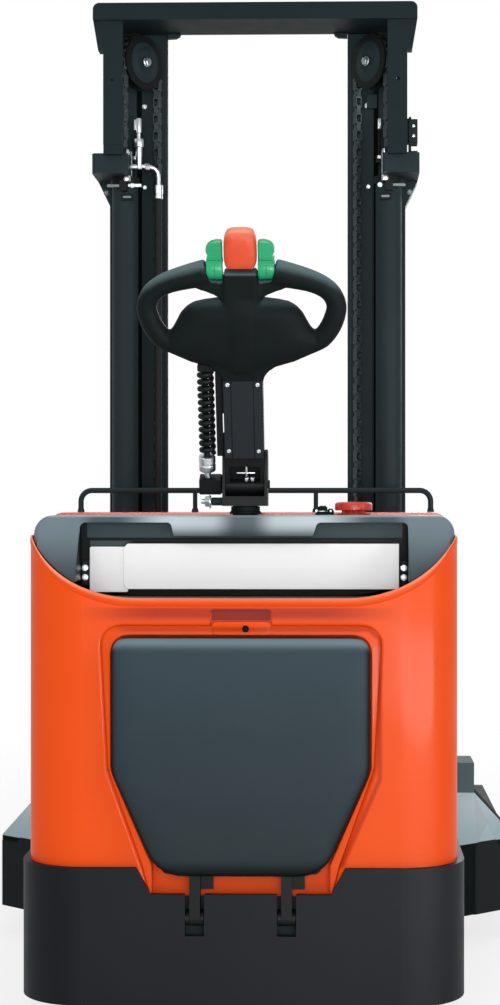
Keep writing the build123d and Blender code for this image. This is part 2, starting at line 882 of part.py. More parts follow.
drive_tyre = Cylinder(drive_wheel_radius, drive_wheel_width) - Cylinder(drive_hub_radius, drive_wheel_width)
drive_tyre = chamfer(drive_tyre.edges().filter_by(GeomType.CIRCLE).sort_by(SortBy.RADIUS)[-2:], 5.0)
add("drive_tyre", drive_centre * drive_tyre)
motor_top = turntable_top + motor_height
drive_motor = Pos(0, steer_depth, (turntable_top + motor_top) / 2) * Cylinder(motor_radius, motor_height)
for groove in range(1, motor_grooves + 1):
    height = turntable_top + groove * motor_height / (motor_grooves + 2)
    drive_motor -= Pos(0, steer_depth, height) * (
        Cylinder(motor_radius, groove_height) - Cylinder(motor_radius - groove_depth, groove_height)
    )
add("drive_motor", drive_motor)
column = Pos(0, steer_depth, (motor_top + yoke_top) / 2) * Cylinder(column_radius, yoke_top - motor_top)
yoke_base = block(
    (-cheek_half_width, cheek_half_width),
    (steer_depth - yoke_half_depth, steer_depth + yoke_half_depth),
    (yoke_bottom, yoke_top),
)
cheek_points = [
    (steer_depth - yoke_half_depth, yoke_top),
    (steer_depth + yoke_half_depth, yoke_top),
    (steer_depth + yoke_half_depth, cheek_top),
    (steer_depth - yoke_half_depth, cheek_top),
]
cheek_rounding = [0.0, 0.0, cheek_round, cheek_round]
cheek = side(cheek_points, cheek_half_width - cheek_thickness, cheek_half_width, cheek_rounding)
pin_reach = -spring_x + spring_outer / 2
pin_end = cheek_half_width + pin_overhang
tilt_pin = bar((-pin_reach, steer_depth, tilt_z), (pin_end, steer_depth, tilt_z), tilt_pin_radius)
add("steer_column", column + yoke_base + both(cheek) + tilt_pin)

# Casters: a stem and fork that swivel under the deck, and a wheel on an axle
fork_top = deck_bottom - caster_boss_height - clearance
fork_half = caster_width / 2 + caster_gap + caster_plate
stem = bar((caster_x, caster_depth, fork_top), (caster_x, caster_depth, deck_bottom), caster_stem_radius)
crown_z = fork_top - caster_plate
crown = Pos(caster_x, caster_depth, crown_z) * Cylinder(fork_half + caster_crown_margin, 2 * caster_plate)
wheel_depth = caster_depth + caster_trail
leg_points = [
    (caster_depth - fork_half / 2, crown_z),
    (caster_depth + fork_half / 2, crown_z),
    (wheel_depth + caster_eye, caster_radius + caster_eye / 2),
    (wheel_depth + caster_eye, caster_radius - caster_eye),
    (wheel_depth - caster_eye, caster_radius - caster_eye),
]
fork_rounding = [0.0, 0.0, 10.0, 12.0, 12.0]
fork_inner_x = caster_x - fork_half
fork_outer_x = caster_x + fork_half
fork_leg = side(leg_points, fork_inner_x, fork_inner_x + caster_plate, fork_rounding)
other_leg = side(leg_points, fork_outer_x - caster_plate, fork_outer_x, fork_rounding)
caster_pin = bar(
    (fork_inner_x, wheel_depth, caster_radius), (fork_outer_x, wheel_depth, caster_radius), caster_pin_radius
)
caster_fork = stem + crown + fork_leg + other_leg + caster_pin
caster_wheel = Pos(caster_x, wheel_depth, caster_radius) * Rot(Y=90) * (
    Cylinder(caster_radius, caster_width) - Cylinder(caster_pin_radius + running_fit, caster_width)
)
caster_wheel = chamfer(caster_wheel.edges().filter_by(GeomType.CIRCLE).sort_by(SortBy.RADIUS)[-2:], 5.0)
add("left_caster_fork", mirror(caster_fork, about=Plane.YZ))
add("right_caster_fork", caster_fork)
add("left_caster_wheel", mirror(caster_wheel, about=Plane.YZ))
add("right_caster_wheel", caster_wheel)

# Tiller: modelled upright about its tilt pin, then leant towards the operator
tiller = Pos(0, steer_depth, tilt_z) * Rot(X=lean)


def add_tiller(name, *solids):
    """Name a node that stands on the tiller's own frame, its height measured from the tilt pin."""
    add(name, *[tiller * solid for solid in solids])


pin_bore = bar((-cheek_half_width, 0, 0), (cheek_half_width, 0, 0), tilt_pin_radius + running_fit)
arm_shaft = block(
    (-arm_half_width, arm_half_width), (-arm_half_depth, arm_half_depth), (0, hub_low + arm_half_depth)
)
arm_root = bar((-arm_half_width, 0, 0), (arm_half_width, 0, 0), arm_root_radius)
arm_cavity = block(
    (-arm_half_width + arm_wall, arm_half_width - arm_wall),
    (-arm_root_radius, 0),
    (tilt_pin_radius + arm_wall / 2, panel_low - arm_wall),
)


def mirrored(point):
    """The point on the other side of the middle line."""
    return (-point[0], point[1])


crown_end = (hub_top_half, hub_high)
hub_edge = [
    ThreePointArc(mirrored(crown_end), (0, hub_high + hub_crown), crown_end),
    ThreePointArc(crown_end, hub_shoulder, hub_side),
    ThreePointArc(hub_side, (0, hub_low), mirrored(hub_side)),
    ThreePointArc(mirrored(hub_side), mirrored(hub_shoulder), mirrored(crown_end)),
]
hub_face = make_face(hub_edge)
hub_face = fillet(hub_face.vertices().sort_by(Axis.Y)[:2], hub_side_round)
hub = Plane.XZ * extrude(Pos(0, 0, -hub_half_depth) * hub_face, 2 * hub_half_depth, dir=(0, 0, 1))
hub_rims = hub.faces().sort_by(Axis.Y)[0].edges() + hub.faces().sort_by(Axis.Y)[-1].edges()
hub = fillet(hub_rims, hub_round)
add_tiller("tiller_arm", arm_shaft + arm_root - arm_cavity - pin_bore - hub)
panel_outline = [
    (-arm_half_width, panel_low),
    (arm_half_width, panel_low),
    (arm_half_width, panel_high),
    (-arm_half_width, panel_high),
]
add_tiller("tiller_panel", wall(panel_outline, -arm_half_depth - panel_plate, -arm_half_depth, 5.0))

# Head: broad hub, neck and spine, throttle shaft and two bent hand loops
neck = block(
    (-neck_half_width, neck_half_width),
    (-spine_half_depth, spine_half_depth),
    (hub_high - hub_round, belly_low - belly_travel - clearance),
)
spine = block(
    (-spine_half_width, spine_half_width),
    (-spine_half_depth, spine_half_depth),
    (hub_high, belly_low + belly_guide),
)
loop_path = FilletPolyline(*[(x, 0, z) for x, z in loop_points], radius=loop_bends)
loop = sweep(Plane(loop_path @ 0, z_dir=loop_path % 0) * Circle(grip_radius), path=loop_path)
loop_start = loop_points[0][0]
shaft = bar((-loop_start, 0, throttle_height), (loop_start, 0, throttle_height), throttle_shaft_radius)
button_floor = hub_half_depth - button_seat
button_places = {"lift_button": button_spacing, "lower_button": -button_spacing, "horn_button": 0.0}
head = hub + neck + spine + both(loop) + shaft
for across in button_places.values():
    head -= bar(
        (across, button_floor, button_height),
        (across, hub_half_depth, button_height),
        button_radius + clearance,
    )
add_tiller("tiller_head", head)
for name, across in button_places.items():
    cap = bar(
        (across, button_floor + button_travel + button_gap, button_height),
        (across, hub_half_depth + button_travel + button_proud, button_height),
        button_radius,
    )
    add_tiller(name, chamfer(cap.edges().sort_by(Axis.Y)[-1], button_edge))

# Belly button: a cap that slides down over the end of the spine, slotted for the throttle shaft
belly = block(
    (-belly_half_width, belly_half_width), (-belly_half_depth, belly_half_depth), (belly_low, belly_high)
)
belly = fillet(belly.edges().filter_by(Axis.Z), belly_side_round)
belly = fillet(belly.faces().sort_by(Axis.Z)[-1].edges(), belly_top_round)
belly_socket = block(
    (-spine_half_width - clearance, spine_half_width + clearance),
    (-spine_half_depth - clearance, spine_half_depth + clearance),
    (belly_low, belly_low + belly_guide + belly_travel + belly_spare),
)
slot_half = throttle_shaft_radius + clearance
shaft_slot = block(
    (-belly_half_width, belly_half_width),
    (-slot_half, slot_half),
    (belly_low, throttle_height + slot_half + belly_travel),
)
add_tiller("belly_button", belly - belly_socket - shaft_slot)

# Thumb levers: two paddles on the throttle shaft
lever_points = [
    (-lever_root, 0), (lever_root, 0), (lever_tip_front, lever_reach), (-lever_tip_rear, lever_reach)
]
paddle = side(lever_points, lever_inner, lever_outer, [0.0, 0.0, lever_tip_round, lever_tip_round])
collar = bar((lever_inner, 0, 0), (lever_outer, 0, 0), lever_radius)
lever_bore = bar((lever_inner, 0, 0), (lever_outer, 0, 0), throttle_shaft_radius + running_fit)
lever = Pos(0, 0, throttle_height) * (paddle + collar - lever_bore)
add_tiller("thumb_levers", *both(lever))


def coil(x, low, turns, pitch, radius, wire):
    """One unbroken wire wound about an upright axis, its ends straight for one wire diameter."""
    climb = pitch / (2 * math.pi * radius)

    def at(half):
        angle = half * math.pi
        place = Vector(x + radius * math.cos(angle), radius * math.sin(angle), low + pitch * half / 2)
        course = Vector(-math.sin(angle), math.cos(angle), climb).normalized()
        return place, course

    start, course = at(0)
    edges = [Line(start - course * wire, start)]
    for half in range(2 * turns):
        first, leaving = at(half)
        last, arriving = at(half + 1)
        span = last - first
        along = span.dot(leaving + arriving)
        turn = 2 * (1 - leaving.dot(arriving))
        reach = (math.sqrt(along**2 + turn * span.dot(span)) - along) / turn
        middle = (first + last + (leaving - arriving) * reach) * 0.5
        edges.append(TangentArc(first, middle, tangent=leaving))
        edges.append(TangentArc(middle, last, tangent=edges[-1] % 1))
    end, course = at(2 * turns)
    edges.append(Line(end, end + course * wire))
    path = Wire(edges)
    samples = [path.position_at(step / (40 * turns)) for step in range(40 * turns + 1)]
    count = len(samples)
    gaps = [(samples[i] - samples[j]).length for i in range(count) for j in range(i + 20, count)]
    print("return spring, least gap between turns", round(min(gaps) - wire, 2))
    section = Plane(path @ 0, z_dir=path % 0) * RegularPolygon(wire / 2, wire_sides)
    return sweep(section, path=path, clean=False)


# Return spring beside the arm, on a strut that turns on the end of the tilt pin
coil_radius = (spring_outer - spring_wire) / 2
spring_high = spring_low + spring_turns * spring_pitch
spring_rest = spring_wire / 2 + spring_seat
add_tiller(
    "return_spring", coil(spring_x, spring_low, spring_turns, spring_pitch, coil_radius, spring_wire)
)
strut_block = block(
    (-pin_reach, -cheek_half_width - clearance), (-strut_half, strut_half), (-strut_half, strut_half)
)
strut_seat = spring_low - spring_rest
collar_low = strut_seat - strut_collar_height
strut_sleeve = bar((spring_x, 0, strut_half), (spring_x, 0, collar_low), sleeve_radius)
strut_collar = bar((spring_x, 0, collar_low), (spring_x, 0, strut_seat), spring_outer / 2)
strut_rod = bar((spring_x, 0, strut_half), (spring_x, 0, spring_high + spring_rest), strut_radius)
eye_low = spring_high + spring_rest
strut_eye = block((-pin_reach, -arm_half_width), (-eye_half, eye_half), (eye_low, eye_low + eye_half)) - hub
strut_bore = bar((-pin_reach, 0, 0), (-cheek_half_width, 0, 0), tilt_pin_radius + running_fit)
add_tiller("spring_strut", strut_block + strut_sleeve + strut_collar + strut_rod + strut_eye - strut_bore)

# Outer mast: two channels open towards each other, with head blocks that hold the cylinders
def channel(web, lip, front_lip, rear, front, web_thickness, flange, low, high):
    """Upright channel on the right, its web outside and its flanges pointing inwards."""
    points = [
        (lip, rear),
        (web, rear),
        (web, front),
        (front_lip, front),
        (front_lip, front - flange),
        (web - web_thickness, front - flange),
        (web - web_thickness, rear + flange),
        (lip, rear + flange),
    ]
    return slab(points, low, high)


outer_channel = channel(
    outer_web, outer_lip, outer_lip, outer_rear, outer_front, outer_web_thickness, outer_flange,
    beam_bottom, column_top,
)
head_points = [
    (head_block_inner, head_block_rear),
    (head_block_outer, head_block_rear),
    (head_block_outer, outer_front),
    (head_block_inner, outer_front),
]
head_block = slab(head_points, outer_top, head_block_top, [6.0, 10.0, 10.0, 6.0])
gusset_points = [(outer_web, gusset_bottom), (head_block_outer, outer_top), (outer_web, outer_top)]
gusset = wall(gusset_points, outer_rear + outer_flange, outer_front - outer_flange)


def on_lift(low, high, radius):
    """Round bar on the right lift cylinder's axis."""
    return bar((cylinder_x, cylinder_depth, low), (cylinder_x, cylinder_depth, high), radius)


rod_hole = on_lift(outer_top, head_block_top, rod_radius + clearance)
outer_mast = outer_channel + head_block + gusset - rod_hole
add("left_outer_mast", mirror(outer_mast, about=Plane.YZ))
add("right_outer_mast", outer_mast)

# Lift cylinders on the cross beam, glands under the head blocks, rods up to the crossbar's feet
rod_bottom = cylinder_top - lift_stroke - piston_height - piston_spare
barrel = on_lift(beam_top, cylinder_top, cylinder_radius)
barrel -= on_lift(beam_top + cylinder_floor, cylinder_top, cylinder_bore)
add("lift_cylinders", *both(barrel))
gland = on_lift(cylinder_top, outer_top, gland_radius)
gland -= on_lift(cylinder_top, outer_top, rod_radius + running_fit)
piston_rod = on_lift(rod_bottom, foot_bottom, rod_radius)
piston_rod += on_lift(rod_bottom, rod_bottom + piston_height, cylinder_bore - running_fit)
add("lift_rods", *both(piston_rod))

# Inner mast: two channels with roller stubs and sheave brackets
sheave_angle = math.radians(sheave_turn)
sheave_run = Vector(-math.cos(sheave_angle), math.sin(sheave_angle), 0)
sheave_axis = Vector(math.sin(sheave_angle), math.cos(sheave_angle), 0)
sheave_centre = Vector(sheave_x, sheave_depth, sheave_z)
sheave_width = chain_width + 2 * sheave_flange
sheave_rim = sheave_pitch_radius + sheave_flange
mast_centre = (inner_rear + inner_front) / 2
inner_channel = channel(
    inner_web, inner_lip, inner_front_lip, inner_rear, inner_front, inner_web_thickness, inner_flange,
    inner_bottom, mast_top,
)
mast_roller_end = outer_web - outer_web_thickness - stub_gap
mast_stub = bar(
    (inner_web - inner_web_thickness, mast_centre, mast_roller_z),
    (mast_roller_end, mast_centre, mast_roller_z),
    roller_axle_radius,
)
bracket_face = sheave_centre + sheave_axis * (sheave_width / 2 + bracket_gap)
bracket_corners = [
    bracket_face + sheave_run * (bracket_half + 2 * sheave_flange),
    bracket_face - sheave_run * bracket_half,
    bracket_face - sheave_run * bracket_half + sheave_axis * bracket_plate,
]
bracket_points = [(corner.X, corner.Y) for corner in bracket_corners]
bracket_points += [(inner_web + 3 * bracket_gap, inner_rear - bracket_nose), (inner_web, inner_rear)]
bracket_points += [(inner_web - bracket_lap, inner_rear)]
bracket = slab(bracket_points, sheave_z - bracket_half, sheave_z + bracket_half)
sheave_pin = bar(
    sheave_centre - sheave_axis * (sheave_width / 2 + sheave_flange),
    bracket_face + sheave_axis * bracket_gap,
    sheave_bore,
)
inner_mast = inner_channel + mast_stub + bracket + sheave_pin
add("left_inner_mast", mirror(inner_mast, about=Plane.YZ))
add("right_inner_mast", inner_mast)

# Crossbar: top beam, end plates, hanging bars with feet over the lift rods, and the lower tie
beam_points = [
    (-crossbar_half, crossbar_bottom),
    (crossbar_half, crossbar_bottom),
    (crossbar_half, mast_top),
    (-crossbar_half, mast_top),
]
crossbar = wall(beam_points, crossbar_rear, inner_rear, [0.0, 0.0, crossbar_round, crossbar_round])
end_width = crossbar_half - hanger_outer
end_points = [
    (hanger_outer, crossbar_bottom),
    (crossbar_half, crossbar_bottom),
    (crossbar_half - end_width / 2, crossbar_end_z),
    (hanger_outer, crossbar_end_z),
]
end_plate = wall(end_points, hanger_depth, hanger_depth + 3 * hanger_thickness)
hanger_front = hanger_depth + hanger_thickness
hanger = block((hanger_inner, hanger_outer), (hanger_depth, hanger_front), (foot_bottom, crossbar_bottom))
hole_x = hanger_outer - hanger_hole_inset
hanger -= bar(
    (hole_x, hanger_depth, hanger_hole_z), (hole_x, hanger_front, hanger_hole_z), hanger_hole_radius
)
foot_inner = cylinder_x - rod_radius
foot_reach = rod_radius + foot_margin
foot_points = [
    (hanger_inner + foot_step, hanger_front),
    (hanger_outer, hanger_front),
    (hanger_outer, cylinder_depth + foot_reach),
    (foot_inner, cylinder_depth + foot_reach),
    (foot_inner, cylinder_depth - foot_reach),
    (hanger_inner + foot_step, cylinder_depth - foot_reach),
]
foot = slab(foot_points, foot_bottom, foot_top)
tie_bottom = beam_top + tie_gap
tie_depth = (inner_rear, inner_rear + inner_flange)
lower_tie = block((-inner_lip, inner_lip), tie_depth, (tie_bottom, tie_bottom + tie_height))
add("mast_crossbar", crossbar + both(end_plate + hanger + foot), lower_tie)

# Chain sheaves, turned so that each chain passes from its anchor to the carriage
link_middle = sheave_pitch_radius * math.cos(chain_pitch / 2 / sheave_pitch_radius)
sheave_groove = link_middle - chain_height / 2 - clearance
groove_width = chain_width + 2 * chain_play
sheave = Cylinder(sheave_rim, sheave_width) - (
    Cylinder(sheave_rim, groove_width) - Cylinder(sheave_groove, groove_width)
)
sheave = sheave - Cylinder(sheave_bore + running_fit, sheave_width)
sheave = Plane(sheave_centre, z_dir=sheave_axis) * sheave
add("left_sheave", mirror(sheave, about=Plane.YZ))
add("right_sheave", sheave)

# Leaf chains: narrow links between pairs of plates, from the anchor over the sheave to the carriage
anchor_pin_z = head_block_top + anchor_height
carriage_pin_z = chain_lug_top + link_end + clearance
rear_run = sheave_z - anchor_pin_z
over_run = math.pi * sheave_pitch_radius
front_run = sheave_z - carriage_pin_z
chain_length = rear_run + over_run + front_run
link_count = round(chain_length / chain_pitch)


def chain_place(travel):
    """Point of the chain's centre line, so far along it from the anchor."""
    if travel < rear_run:
        return sheave_centre - sheave_run * sheave_pitch_radius + Vector(0, 0, travel - rear_run)
    if travel > rear_run + over_run:
        drop = travel - rear_run - over_run
        return sheave_centre + sheave_run * sheave_pitch_radius - Vector(0, 0, drop)
    angle = (travel - rear_run) / sheave_pitch_radius
    reach = sheave_run * -math.cos(angle) + Vector(0, 0, math.sin(angle))
    return sheave_centre + reach * sheave_pitch_radius


def link_plate(low, high):
    """Pointed plate along X from one pin to the next, between two places across the chain."""
    reach = chain_pitch / 2 + link_end
    half = chain_height / 2
    points = [(-reach, 0), (-reach + half, -half), (reach - half, -half)]
    points += [(reach, 0), (reach - half, half), (-reach + half, half)]
    return slab(points, low, high)


inner_half = chain_width / 2 - chain_plate
narrow_link = [link_plate(-inner_half, inner_half)]
wide_link = [link_plate(inner_half, chain_width / 2), link_plate(-chain_width / 2, -inner_half)]
chain = []
for link in range(link_count):
    start = chain_place(link * chain_length / link_count)
    end = chain_place((link + 1) * chain_length / link_count)
    place = Plane((start + end) * 0.5, x_dir=end - start, z_dir=sheave_axis)
    chain += [place * plate for plate in (wide_link if link % 2 else narrow_link)]
add("left_chain", *[mirror(plate, about=Plane.YZ) for plate in chain])
add("right_chain", *chain)
rear_line = sheave_centre - sheave_run * sheave_pitch_radius
chain_anchor = bar(
    (rear_line.X, rear_line.Y, head_block_top),
    (rear_line.X, rear_line.Y, anchor_pin_z - link_end - clearance),
    anchor_radius,
)
add("head_fittings", *both(gland), *both(chain_anchor))

# Rollers of the inner mast and of the carriage, one pair to an axis
def roller_pair(low, high, z, radius):
    """Rollers on the left and right stub axles at one height."""
    ring = bar((low, mast_centre, z), (high, mast_centre, z), radius)
    return both(ring - bar((low, mast_centre, z), (high, mast_centre, z), roller_axle_radius + running_fit))


mast_roller_radius = (outer_front - outer_rear) / 2 - outer_flange - roller_play
carriage_roller_radius = (inner_front - inner_rear) / 2 - inner_flange - roller_play
carriage_roller_start = inner_lip + stub_gap
carriage_roller_end = carriage_roller_start + carriage_roller_width
roller_outer = mast_roller_end - roller_gap
roller_inner = roller_outer - mast_roller_width
add("mast_rollers", *roller_pair(roller_inner, roller_outer, mast_roller_z, mast_roller_radius))
for name, height in [("low", carriage_roller_low_z), ("high", carriage_roller_high_z)]:
    pair = roller_pair(carriage_roller_start, carriage_roller_end, height, carriage_roller_radius)
    add(f"carriage_rollers_{name}", *pair)

# Carriage: roller plates, two cross bars and lugs that take the chains
front_line = sheave_centre + sheave_run * sheave_pitch_radius
bar_rear = carriage_face - carriage_bar
roller_plate = block(
    (carriage_plate_inner, carriage_plate_outer), (carriage_rear, bar_rear), (carriage_bottom, carriage_top)
)
lug_arm = block(
    (carriage_plate_inner, carriage_plate_outer),
    (front_line.Y - lug_half, carriage_rear),
    (chain_lug_bottom, chain_lug_top),
)
lug = block(
    (carriage_plate_inner, front_line.X + lug_half),
    (front_line.Y - lug_half, front_line.Y + lug_half),
    (chain_lug_bottom, chain_lug_top),
)
carriage_side = roller_plate + lug_arm + lug
for height in (carriage_roller_low_z, carriage_roller_high_z):
    carriage_side += bar(
        (carriage_plate_outer, mast_centre, height),
        (carriage_roller_end, mast_centre, height),
        roller_axle_radius,
    )
low_bar = block(
    (-carriage_bar_half, carriage_bar_half),
    (bar_rear, carriage_face),
    (carriage_bottom, carriage_bottom + carriage_bar_height),
)
high_bar = block(
    (-carriage_bar_half, carriage_bar_half),
    (bar_rear, carriage_face),
    (carriage_top - carriage_bar_height, carriage_top),
)
add("carriage_frame", low_bar + high_bar + both(carriage_side))

# Forks: upright shank against the carriage, flat blade with a tapered tip
fork_face = carriage_face + fork_thickness
fork_end = fork_face + fork_length
fork_top_z = fork_bottom + fork_thickness
fork_taper = fork_length / 2
fork_points = [
    (carriage_face, carriage_top),
    (fork_face, carriage_top),
    (fork_face, fork_top_z),
    (fork_end, fork_top_z),
    (fork_end, fork_top_z - fork_tip),
    (fork_end - fork_taper, fork_bottom),
    (carriage_face, fork_bottom),
]
fork = side(fork_points, fork_inner, fork_inner + fork_width, [0.0, 6.0, 20.0, 5.0, 5.0, 0.0, 20.0])
fork_plan = [
    (fork_inner, carriage_face),
    (fork_inner + fork_width, carriage_face),
    (fork_inner + fork_width, fork_end),
    (fork_inner, fork_end),
]
fork = fork & slab(fork_plan, fork_bottom, carriage_top, [0.0, 0.0, 30.0, 30.0])
add("left_fork", mirror(fork, about=Plane.YZ))
add("right_fork", fork)

# Guard rail across the hood
rail_path = FilletPolyline(
    (-rail_half_width, rail_depth, hood_top),
    (-rail_half_width, rail_depth, rail_z),
    (rail_half_width, rail_depth, rail_z),
    (rail_half_width, rail_depth, hood_top),
    radius=rail_bend,
)
rail = sweep(Plane(rail_path @ 0, z_dir=rail_path % 0) * Circle(rail_radius), path=rail_path)
rail_post = bar((rail_post_x, rail_depth, hood_top), (rail_post_x, rail_depth, rail_z), rail_post_radius)
add("guard_rail", rail + both(rail_post))

# Emergency stop and key switch on the top cover
stop_base_top = bezel_top + stop_plate
collar_top = stop_base_top + stop_collar_height
cap_bottom = stop_base_top + stop_travel + stop_cap_gap
cap_roof = collar_top + stop_travel + stop_cap_gap / 2
cap_top = cap_roof + stop_cap_gap
stem_bottom = bezel_top - 2 * bezel_wall


def on_stop(low, high, radius):
    """Round bar on the emergency stop's axis."""
    return bar((stop_x, stop_depth, low), (stop_x, stop_depth, high), radius)


def on_key(low, high, radius):
    """Round bar on the key switch's axis."""
    return bar((key_x, stop_depth, low), (key_x, stop_depth, high), radius)


stop_base = on_stop(bezel_top, stop_base_top, stop_plate_radius)
stop_base += on_stop(stop_base_top, collar_top, stop_collar_radius)
stop_base -= on_stop(stem_bottom, collar_top, stop_stem_radius + running_fit)
knob = on_stop(cap_bottom, cap_top, stop_radius)
knob -= on_stop(cap_bottom, cap_roof, stop_collar_radius + clearance)
knob += on_stop(cap_roof, cap_top + stop_cap_plate, stop_top_radius)
knob += on_stop(stem_bottom, cap_top, stop_stem_radius)
add("stop_knob", knob)
boss_top = bezel_top + key_boss_height
switch_boss = on_key(bezel_top, boss_top, key_boss_radius)
switch_boss += on_key(stem_bottom, bezel_top, key_barrel_radius)
switch_boss -= on_key(stem_bottom, boss_top, key_plug_radius + running_fit)
add("switch_bases", stop_base, switch_boss)
key_points = [
    (key_x - key_shank_half, boss_top - key_half_thickness),
    (key_x + key_shank_half, boss_top - key_half_thickness),
    (key_x + key_shank_half, boss_top + key_shank_length),
    (key_x + key_head_half, boss_top + key_head_low),
    (key_x + key_head_half, boss_top + key_head_high),
    (key_x - key_head_half, boss_top + key_head_high),
    (key_x - key_head_half, boss_top + key_head_low),
    (key_x - key_shank_half, boss_top + key_shank_length),
]
key = wall(key_points, stop_depth - key_half_thickness, stop_depth + key_half_thickness)
key += on_key(stem_bottom + key_plug_end, boss_top, key_plug_radius)
add("ignition_key", key)

# Battery and hydraulic power pack on the deck
battery_rear = steer_depth + turntable_radius + battery_gap
battery_front = body_front - battery_front_gap
battery = block((-battery_half, battery_half), (battery_rear, battery_front), (deck_top, battery_top))
lid_line = (battery_top - lid_groove_drop, battery_top - lid_groove_drop + lid_groove_height)
groove_ring = block((-battery_half, battery_half), (battery_rear, battery_front), lid_line)
groove_ring -= block(
    (-battery_half + lid_groove_depth, battery_half - lid_groove_depth),
    (battery_rear + lid_groove_depth, battery_front - lid_groove_depth),
    lid_line,
)
add("battery", battery - groove_ring)
tank_x = (-cover_half + cover_wall + tank_wall_gap, -turntable_radius - tank_column_gap)
tank_y = (cover_rear + cover_wall + tank_rear_gap, battery_rear - tank_front_gap)
tank_top = deck_top + tank_height
tank = fillet(block(tank_x, tank_y, (deck_top, tank_top)).edges().filter_by(Axis.Z), tank_round)
pump_x = sum(tank_x) / 2
pump_y = sum(tank_y) / 2
pump_motor = bar((pump_x, pump_y, tank_top), (pump_x, pump_y, tank_top + pump_height), pump_radius)
valve_rear = tank_y[0] + valve_margin
valve = block(
    (pump_x + valve_setback, tank_x[1]),
    (valve_rear, valve_rear + valve_length),
    (tank_top, tank_top + valve_height),
)
add("power_pack", tank + pump_motor + valve)

# Hose up the left column, its end fittings, and the limit switch on the right head block
ferrule_high = hose_high + ferrule_length
elbow_z = head_block_top + elbow_rise
stack_depth = cylinder_depth - stack_setback
hose_path = FilletPolyline(
    (hose_x, bulkhead_front, hose_low),
    (hose_x, hose_depth, hose_low),
    (hose_x, hose_depth, hose_high),
    radius=5 * hose_radius,
)
hose = sweep(Plane(hose_path @ 0, z_dir=hose_path % 0) * Circle(hose_radius), path=hose_path)
add("lift_hose", hose)
elbow_path = FilletPolyline(
    (hose_x, hose_depth, ferrule_high),
    (hose_x, hose_depth, elbow_z),
    (stack_x, stack_depth, elbow_z),
    radius=elbow_bend,
)
elbow = sweep(Plane(elbow_path @ 0, z_dir=elbow_path % 0) * Circle(elbow_radius), path=elbow_path)
ferrule = bar((hose_x, hose_depth, hose_high), (hose_x, hose_depth, ferrule_high), hose_radius + ferrule_wall)
port_z = (outer_top + head_block_top) / 2


def on_stack(low, high, radius):
    """Round bar on the axis of the fittings beside the left head block."""
    return bar((stack_x, stack_depth, low), (stack_x, stack_depth, high), radius)


stack = on_stack(port_z - stack_foot, elbow_z + stack_nut_low, stack_radius)
stack += on_stack(elbow_z + stack_nut_low, elbow_z + stack_nut_high, stack_nut_radius)
stack += on_stack(elbow_z + stack_nut_high, elbow_z + stack_top, stack_tip_radius)
port = bar((-head_block_inner, stack_depth, port_z), (stack_x, stack_depth, port_z), port_radius)
add("hose_fittings", elbow + ferrule + stack + port)
switch_inner = switch_x + switch_plate_thickness
switch_outer = switch_x + switch_width
switch_plate = block((switch_x, switch_inner), switch_depth, (head_block_top, head_block_top + switch_height))
switch_body = block(
    (switch_inner, switch_outer),
    (switch_depth[0] + switch_plate_thickness, switch_depth[1] - switch_plate_thickness),
    (head_block_top + switch_body_low, head_block_top + switch_body_high),
)
switch_foot = block(
    (switch_x, switch_outer), switch_depth, (head_block_top, head_block_top + switch_plate_thickness)
)
add("limit_switch", switch_plate + switch_body + switch_foot)

# Export
boxes = [solid.bounding_box() for solids in nodes.values() for solid in solids]
rear_end = min(box.min.Y for box in boxes)
front_end = max(box.max.Y for box in boxes)
to_origin = Pos(0, -(rear_end + front_end) / 2, 0)
os.makedirs("parts", exist_ok=True)
for name, solids in nodes.items():
    placed = [to_origin * solid for solid in solids]
    export_step(placed[0] if len(placed) == 1 else Compound(children=placed), f"parts/{name}.step")
print("depth of the origin", round((rear_end + front_end) / 2, 3))
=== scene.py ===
"""Looks of an electric straddle stacker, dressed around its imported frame.

+X is the operator's right, +Y is forward to the fork tips and +Z is up. Finishes, lamps and the camera are
placed in metres. Pieces are modelled in millimetres and scaled by the matrix that places them.
"""
import json
import math

import bmesh
import bpy
from mathutils import Matrix, Vector


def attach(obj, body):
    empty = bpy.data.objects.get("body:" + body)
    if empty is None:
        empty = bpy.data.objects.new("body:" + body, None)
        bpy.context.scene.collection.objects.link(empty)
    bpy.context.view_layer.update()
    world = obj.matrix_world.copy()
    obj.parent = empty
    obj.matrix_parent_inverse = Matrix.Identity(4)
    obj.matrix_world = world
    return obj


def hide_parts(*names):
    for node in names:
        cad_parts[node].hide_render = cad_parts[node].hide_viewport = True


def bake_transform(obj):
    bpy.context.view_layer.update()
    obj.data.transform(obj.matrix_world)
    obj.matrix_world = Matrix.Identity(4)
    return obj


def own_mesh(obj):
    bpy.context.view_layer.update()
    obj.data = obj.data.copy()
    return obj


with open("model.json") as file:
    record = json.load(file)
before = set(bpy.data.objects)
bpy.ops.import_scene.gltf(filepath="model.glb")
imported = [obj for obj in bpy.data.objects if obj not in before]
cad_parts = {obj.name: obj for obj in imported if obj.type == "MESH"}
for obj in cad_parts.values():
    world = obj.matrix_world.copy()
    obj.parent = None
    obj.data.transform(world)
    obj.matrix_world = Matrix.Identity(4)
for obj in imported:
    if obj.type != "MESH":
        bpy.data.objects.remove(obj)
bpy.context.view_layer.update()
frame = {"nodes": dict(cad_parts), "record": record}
nodes = frame["nodes"]
scene = bpy.context.scene
scene.view_settings.view_transform = "Standard"

LEFTWARD = (-1.0, 0.0, 0.0)
REARWARD = (0.0, -1.0, 0.0)
UPWARD = (0.0, 0.0, 1.0)


# Shader maths

